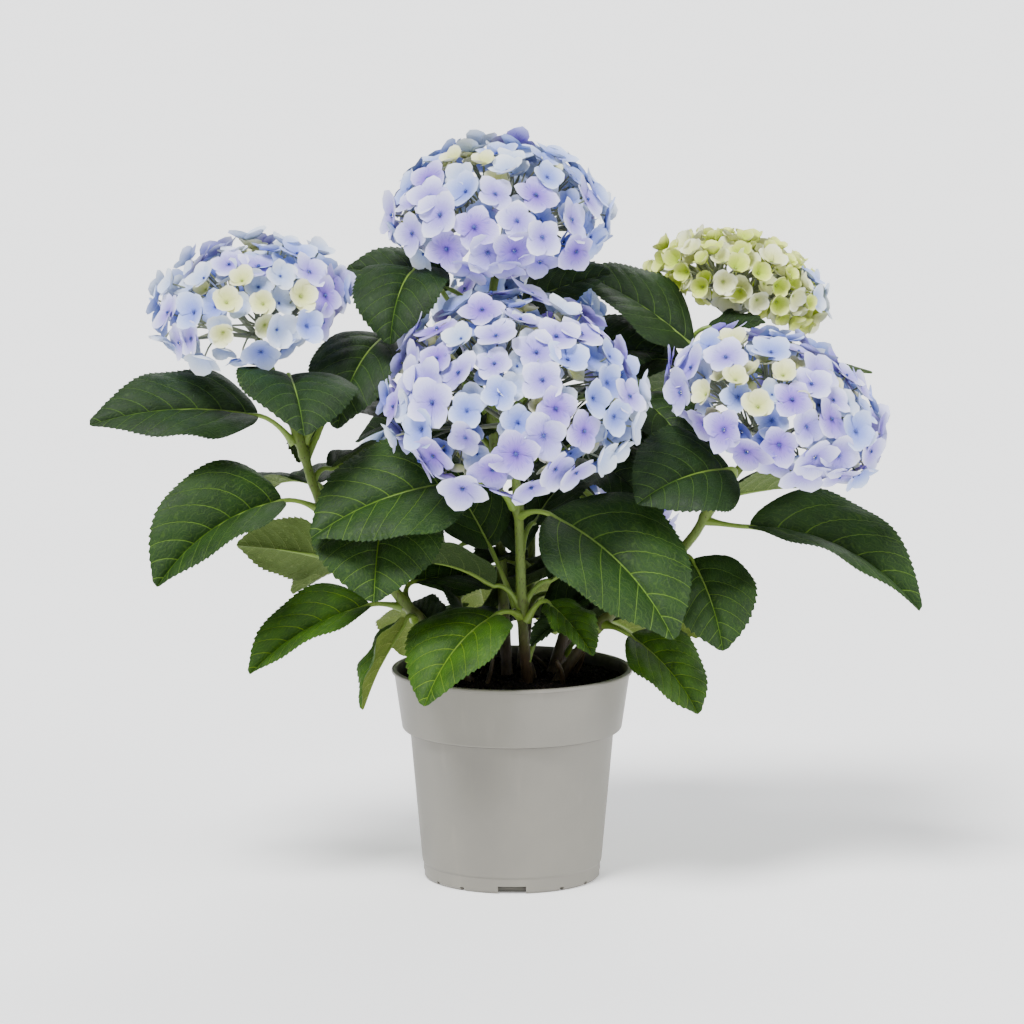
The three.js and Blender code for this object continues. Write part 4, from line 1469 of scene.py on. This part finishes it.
TINTS = {
    # heart, flush, body, margin, rays, then how the sepals sit: length in metres, tilt, cup, droop, point
    "violet": {"colours": (srgb(44, 32, 136), srgb(134, 102, 208), srgb(178, 168, 234), srgb(222, 222, 250),
                           srgb(114, 92, 200)),
               "length": 0.0202, "tilt": 0.03, "cup": 0.05, "droop": 0.10, "point": 0.08},
    "lilac": {"colours": (srgb(56, 54, 154), srgb(148, 132, 222), srgb(196, 196, 244), srgb(234, 236, 254),
                          srgb(150, 142, 216)),
              "length": 0.0194, "tilt": 0.10, "cup": 0.08, "droop": 0.06, "point": 0.06},
    "blue": {"colours": (srgb(58, 74, 172), srgb(122, 138, 222), srgb(172, 190, 240), srgb(214, 226, 250),
                         srgb(134, 152, 222)),
             "length": 0.0178, "tilt": 0.18, "cup": 0.16, "droop": 0.02, "point": 0.05},
    "ice": {"colours": (srgb(120, 142, 200), srgb(170, 188, 232), srgb(210, 222, 242), srgb(236, 242, 248),
                        srgb(172, 190, 226)),
            "length": 0.0164, "tilt": 0.26, "cup": 0.24, "droop": -0.06, "point": 0.04},
    "cream": {"colours": (srgb(148, 162, 78), srgb(212, 218, 138), srgb(234, 236, 184), srgb(244, 246, 222),
                          srgb(206, 214, 138)),
              "length": 0.0142, "tilt": 0.34, "cup": 0.30, "droop": -0.10, "point": 0.0},
    "green": {"colours": (srgb(130, 154, 28), srgb(180, 200, 54), srgb(214, 226, 100), srgb(240, 244, 168),
                          srgb(166, 188, 52)),
              "length": 0.0118, "tilt": 0.50, "cup": 0.42, "droop": -0.12, "point": 0.0},
}

HEAD_MIXES = {
    # how common each tint is, then patches: a place on the dome (right, back, up), its width and its tints
    "front": ({"violet": 5, "lilac": 7, "blue": 5, "ice": 2, "cream": 1},
              [((-0.55, -0.3, 0.75), 0.35, ["ice", "blue"]),
               ((0.1, 0.0, 1.0), 0.45, ["ice", "lilac", "blue"])]),
    "top": ({"violet": 1, "lilac": 3, "blue": 5, "ice": 3},
            [((-0.35, -0.35, 0.85), 0.42, ["cream", "ice"]),
             ((0.25, -0.6, 0.7), 0.25, ["cream", "ice"]),
             ((0.1, -0.95, -0.1), 0.75, ["lilac", "violet"])]),
    "left": ({"lilac": 2, "blue": 4, "ice": 3},
             [((0.0, -0.9, 0.35), 0.55, ["cream", "ice", "cream"]),
              ((0.85, -0.45, 0.1), 0.45, ["violet", "lilac"]),
              ((-0.9, -0.4, 0.0), 0.40, ["lilac", "blue"])]),
    "young": ({"green": 7, "cream": 2},
              [((0.95, -0.2, 0.0), 0.40, ["ice", "blue", "cream"]),
               ((0.1, -0.9, -0.1), 0.45, ["cream", "green"])]),
    "right": ({"violet": 3, "lilac": 5, "blue": 2},
              [((-0.45, -0.6, 0.65), 0.55, ["cream", "cream", "ice", "lilac"]),
               ((0.25, -0.75, 0.6), 0.35, ["cream", "lilac"]),
               ((0.2, -0.9, -0.2), 0.5, ["violet", "lilac"])]),
    "rear": ({"violet": 2, "lilac": 4, "blue": 4, "ice": 2}, []),
    "back_left": ({"lilac": 4, "blue": 4, "ice": 2}, []),
    "back_right": ({"violet": 2, "lilac": 4, "blue": 3}, []),
}

# %% Find places for the florets
FLORET_GAP = 0.0225
YOUNG_GAP = 0.0160
# each layer's gap and sepal length as a share of the outer one's, and how far it sinks to the heart
LAYERS = {"outer": (1.0, 1.0, 0.0), "inner": (1.12, 0.88, 0.17)}
HEART_HEIGHT = 0.45
SINK = (0.002, 0.008)
SKIN_WAY, DOME_WAY = 0.65, 0.35
TILT_SPREAD = 0.17
SIZES = (0.84, 1.12)
TRIES = 9000
FOOT_CLEAR = 0.10


def scattered(head, apart, draw):
    """Points on the dome's skin, at random but never closer than apart, with the way each one faces."""
    skin, normals = head["skin"], head["normals"]
    areas = np.linalg.norm(np.cross(skin[:, 1] - skin[:, 0], skin[:, 2] - skin[:, 0]), axis=1)
    chosen = draw.choice(len(skin), TRIES, p=areas / areas.sum())
    weights = draw.dirichlet((1, 1, 1), TRIES)
    points = (skin[chosen] * weights[..., None]).sum(axis=1)
    facing = unit((normals[chosen] * weights[..., None]).sum(axis=1))
    height = (points - head["foot"]) @ head["axis"] / np.linalg.norm(head["top"] - head["foot"])
    kept = []
    for k in np.flatnonzero(height > FOOT_CLEAR):
        if all(np.linalg.norm(points[k] - points[j]) > apart for j in kept):
            kept.append(k)
    return points[kept], facing[kept]


def inner_tint(kind, draw):
    """The florets between and under the others open last, so they are small and pale."""
    return draw.choice(["green", "cream"] if kind == "young" else ["ice", "ice", "cream", "blue"])


def tint_at(kind, place, draw):
    """A floret's tint: a patch's own tints near the patch, and the head's mix elsewhere."""
    mix, patches = HEAD_MIXES[kind]
    for centre, width, tints in patches:
        if np.linalg.norm(place - unit(centre)) < width * draw.uniform(0.75, 1.2):
            return tints[draw.integers(len(tints))]
    names, weights = list(mix), np.array(list(mix.values()), float)
    return names[draw.choice(len(names), p=weights / weights.sum())]


florets = {tint: {"points": [], "facing": [], "sizes": []} for tint in TINTS}
stalk_ends = {kind: [] for kind in kinds}
for number, kind in enumerate(kinds):
    draw = np.random.default_rng(40 + number)
    head = heads[kind]
    gap = YOUNG_GAP if kind == "young" else FLORET_GAP
    heart = head["foot"] + HEART_HEIGHT * (head["top"] - head["foot"])
    for layer, (spacing, scale, depth) in LAYERS.items():
        points, facing = scattered(head, gap * spacing, draw)
        for point, way in zip(points, facing):
            place = unit(point - head["centre"])
            tint = tint_at(kind, place, draw) if layer == "outer" else str(inner_tint(kind, draw))
            sunk = point + (heart - point) * depth - way * draw.uniform(*SINK)
            outward = unit(SKIN_WAY * way + DOME_WAY * place)
            facing_way = unit(outward + draw.normal(0, TILT_SPREAD, 3))
            group = florets[tint]
            group["points"].append(sunk)
            group["facing"].append(facing_way)
            group["sizes"].append(TINTS[tint]["length"] * scale * draw.uniform(*SIZES))
            stalk_ends[kind].append((sunk, facing_way))
print({tint: len(group["points"]) for tint, group in florets.items()}, "florets")

# %% Set the florets
YOUNG_TINTS = ("green", "cream")
for number, (tint, look) in enumerate(TINTS.items()):
    group = florets[tint]
    sepal = sepal_template(f"sepal_{tint}", look["cup"], look["droop"], look["point"])
    places = points_mesh(f"places_{tint}", group["points"], group["facing"], group["sizes"])
    piece = grown(f"florets_{tint}", places, florets_grow, Sepals=4, Tilt=look["tilt"], Looseness=0.13,
                  Seed=11 + number, Sepal=sepal, Material=sepal_skin(f"sepal_{tint}", *look["colours"]))
    bpy.data.objects.remove(sepal)
    nodes = ["flowers_" + kind for kind in kinds] if tint == "violet" else []
    ready(piece, "young_flowers" if tint in YOUNG_TINTS else "flowers", *nodes)


# %% Set the beads
def bead_skin(name, deep, light):
    """A smooth bud, a little darker in places."""
    material, tree, shader = surface(name, roughness=0.45, specular=0.4)
    paint(tree, shader, Base_Color=blend(tree, noise(tree, object_place(tree), 40.0), deep, light))
    return material


def set_beads(name, slot_name, tints, skin):
    """A closed flower in the middle of each floret of these tints."""
    columns = [sum((florets[tint][key] for tint in tints), []) for key in ("points", "facing", "sizes")]
    bead = bead_template("bead")
    piece = grown(name, points_mesh(name + "_places", *columns), beads_grow,
                  Shape=bead, Seed=3, Material=skin)
    bpy.data.objects.remove(bead)
    ready(piece, slot_name)


set_beads("floret_beads", "flowers", [tint for tint in TINTS if tint not in YOUNG_TINTS],
          bead_skin("bead_blue", srgb(34, 40, 112), srgb(74, 92, 164)))
set_beads("young_beads", "young_flowers", YOUNG_TINTS,
          bead_skin("bead_green", srgb(128, 150, 52), srgb(172, 188, 96)))

# %% [markdown]
# Under its florets a head is a loose bush of fine stalks. The cane divides into a few rays, each ray
# ends in a hub, and a thread-like stalk runs from the hub to each floret near it.

# %% Grow the stalks inside the heads
RAYS = 9
RAY_RADIUS = 0.0017
HAIR_RADIUS = 0.00075
THICKER_FOOT = 1.3
HUB_SHARE = 0.55
HUB_ROUNDS = 6
STALK_STEPS = 5
STALK_BEND = 0.45


def curved(start, end, way, radius):
    """A short line that leaves straight and arrives along way, with its radius at each step."""
    part = np.linspace(0, 1, STALK_STEPS)[:, None]
    bend = end - way * np.linalg.norm(end - start) * STALK_BEND
    line = (1 - part) ** 2 * start + 2 * part * (1 - part) * bend + part**2 * end
    return line, np.linspace(radius * THICKER_FOOT, radius, STALK_STEPS)


def head_stalks(kind, draw):
    """Rays from the cane's end to their hubs, and a hair-fine stalk from the nearest hub to each floret."""
    base = cane_lines[kind][0][-1]
    ends = np.array([end for end, _ in stalk_ends[kind]])
    ways = np.array([way for _, way in stalk_ends[kind]])
    hubs = ends[draw.choice(len(ends), RAYS, replace=False)]
    for _ in range(HUB_ROUNDS):
        nearest = np.argmin(np.linalg.norm(ends[:, None] - hubs[None], axis=2), axis=1)
        hubs = np.array([ends[nearest == k].mean(axis=0) if np.any(nearest == k) else hubs[k]
                         for k in range(RAYS)])
    centres = base + (hubs - base) * HUB_SHARE
    rays = [curved(base, hub, unit(hub - base), RAY_RADIUS) for hub in centres]
    return rays + [curved(centres[k], end, way, HAIR_RADIUS) for end, way, k in zip(ends, ways, nearest)]


def pedicel_skin():
    """The dull green of a flower's fine stalks."""
    material, tree, shader = surface("pedicel", roughness=0.5, specular=0.3)
    tone = blend(tree, noise(tree, object_place(tree), 60.0), srgb(120, 134, 92), srgb(140, 140, 128))
    paint(tree, shader, Base_Color=tone)
    return material


chains = []
for number, kind in enumerate(kinds):
    chains += head_stalks(kind, np.random.default_rng(80 + number))
flower_stalks = grown("flower_stalks", chain_mesh("flower_stalk_lines", chains), limbs,
                      Sides=5, Relief=0.0, Relief_Size=100.0, Material=pedicel_skin())
ready(flower_stalks, "stems")

# %% [markdown]
# ## How far the plant stands proud
# The visual plant is measured against the box of the fixed frame, which soft pieces may stand a little
# proud of, and how far it stands proud below and above is printed.

# %% Print how far the plant stands proud
seen_low, seen_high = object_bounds()
proud = [round(1000 * (a - b), 1) for a, b in zip(cad_low, seen_low)]
above = [round(1000 * (b - a), 1) for a, b in zip(cad_high, seen_high)]
print("stands proud by", proud, "mm below and", above, "mm above")
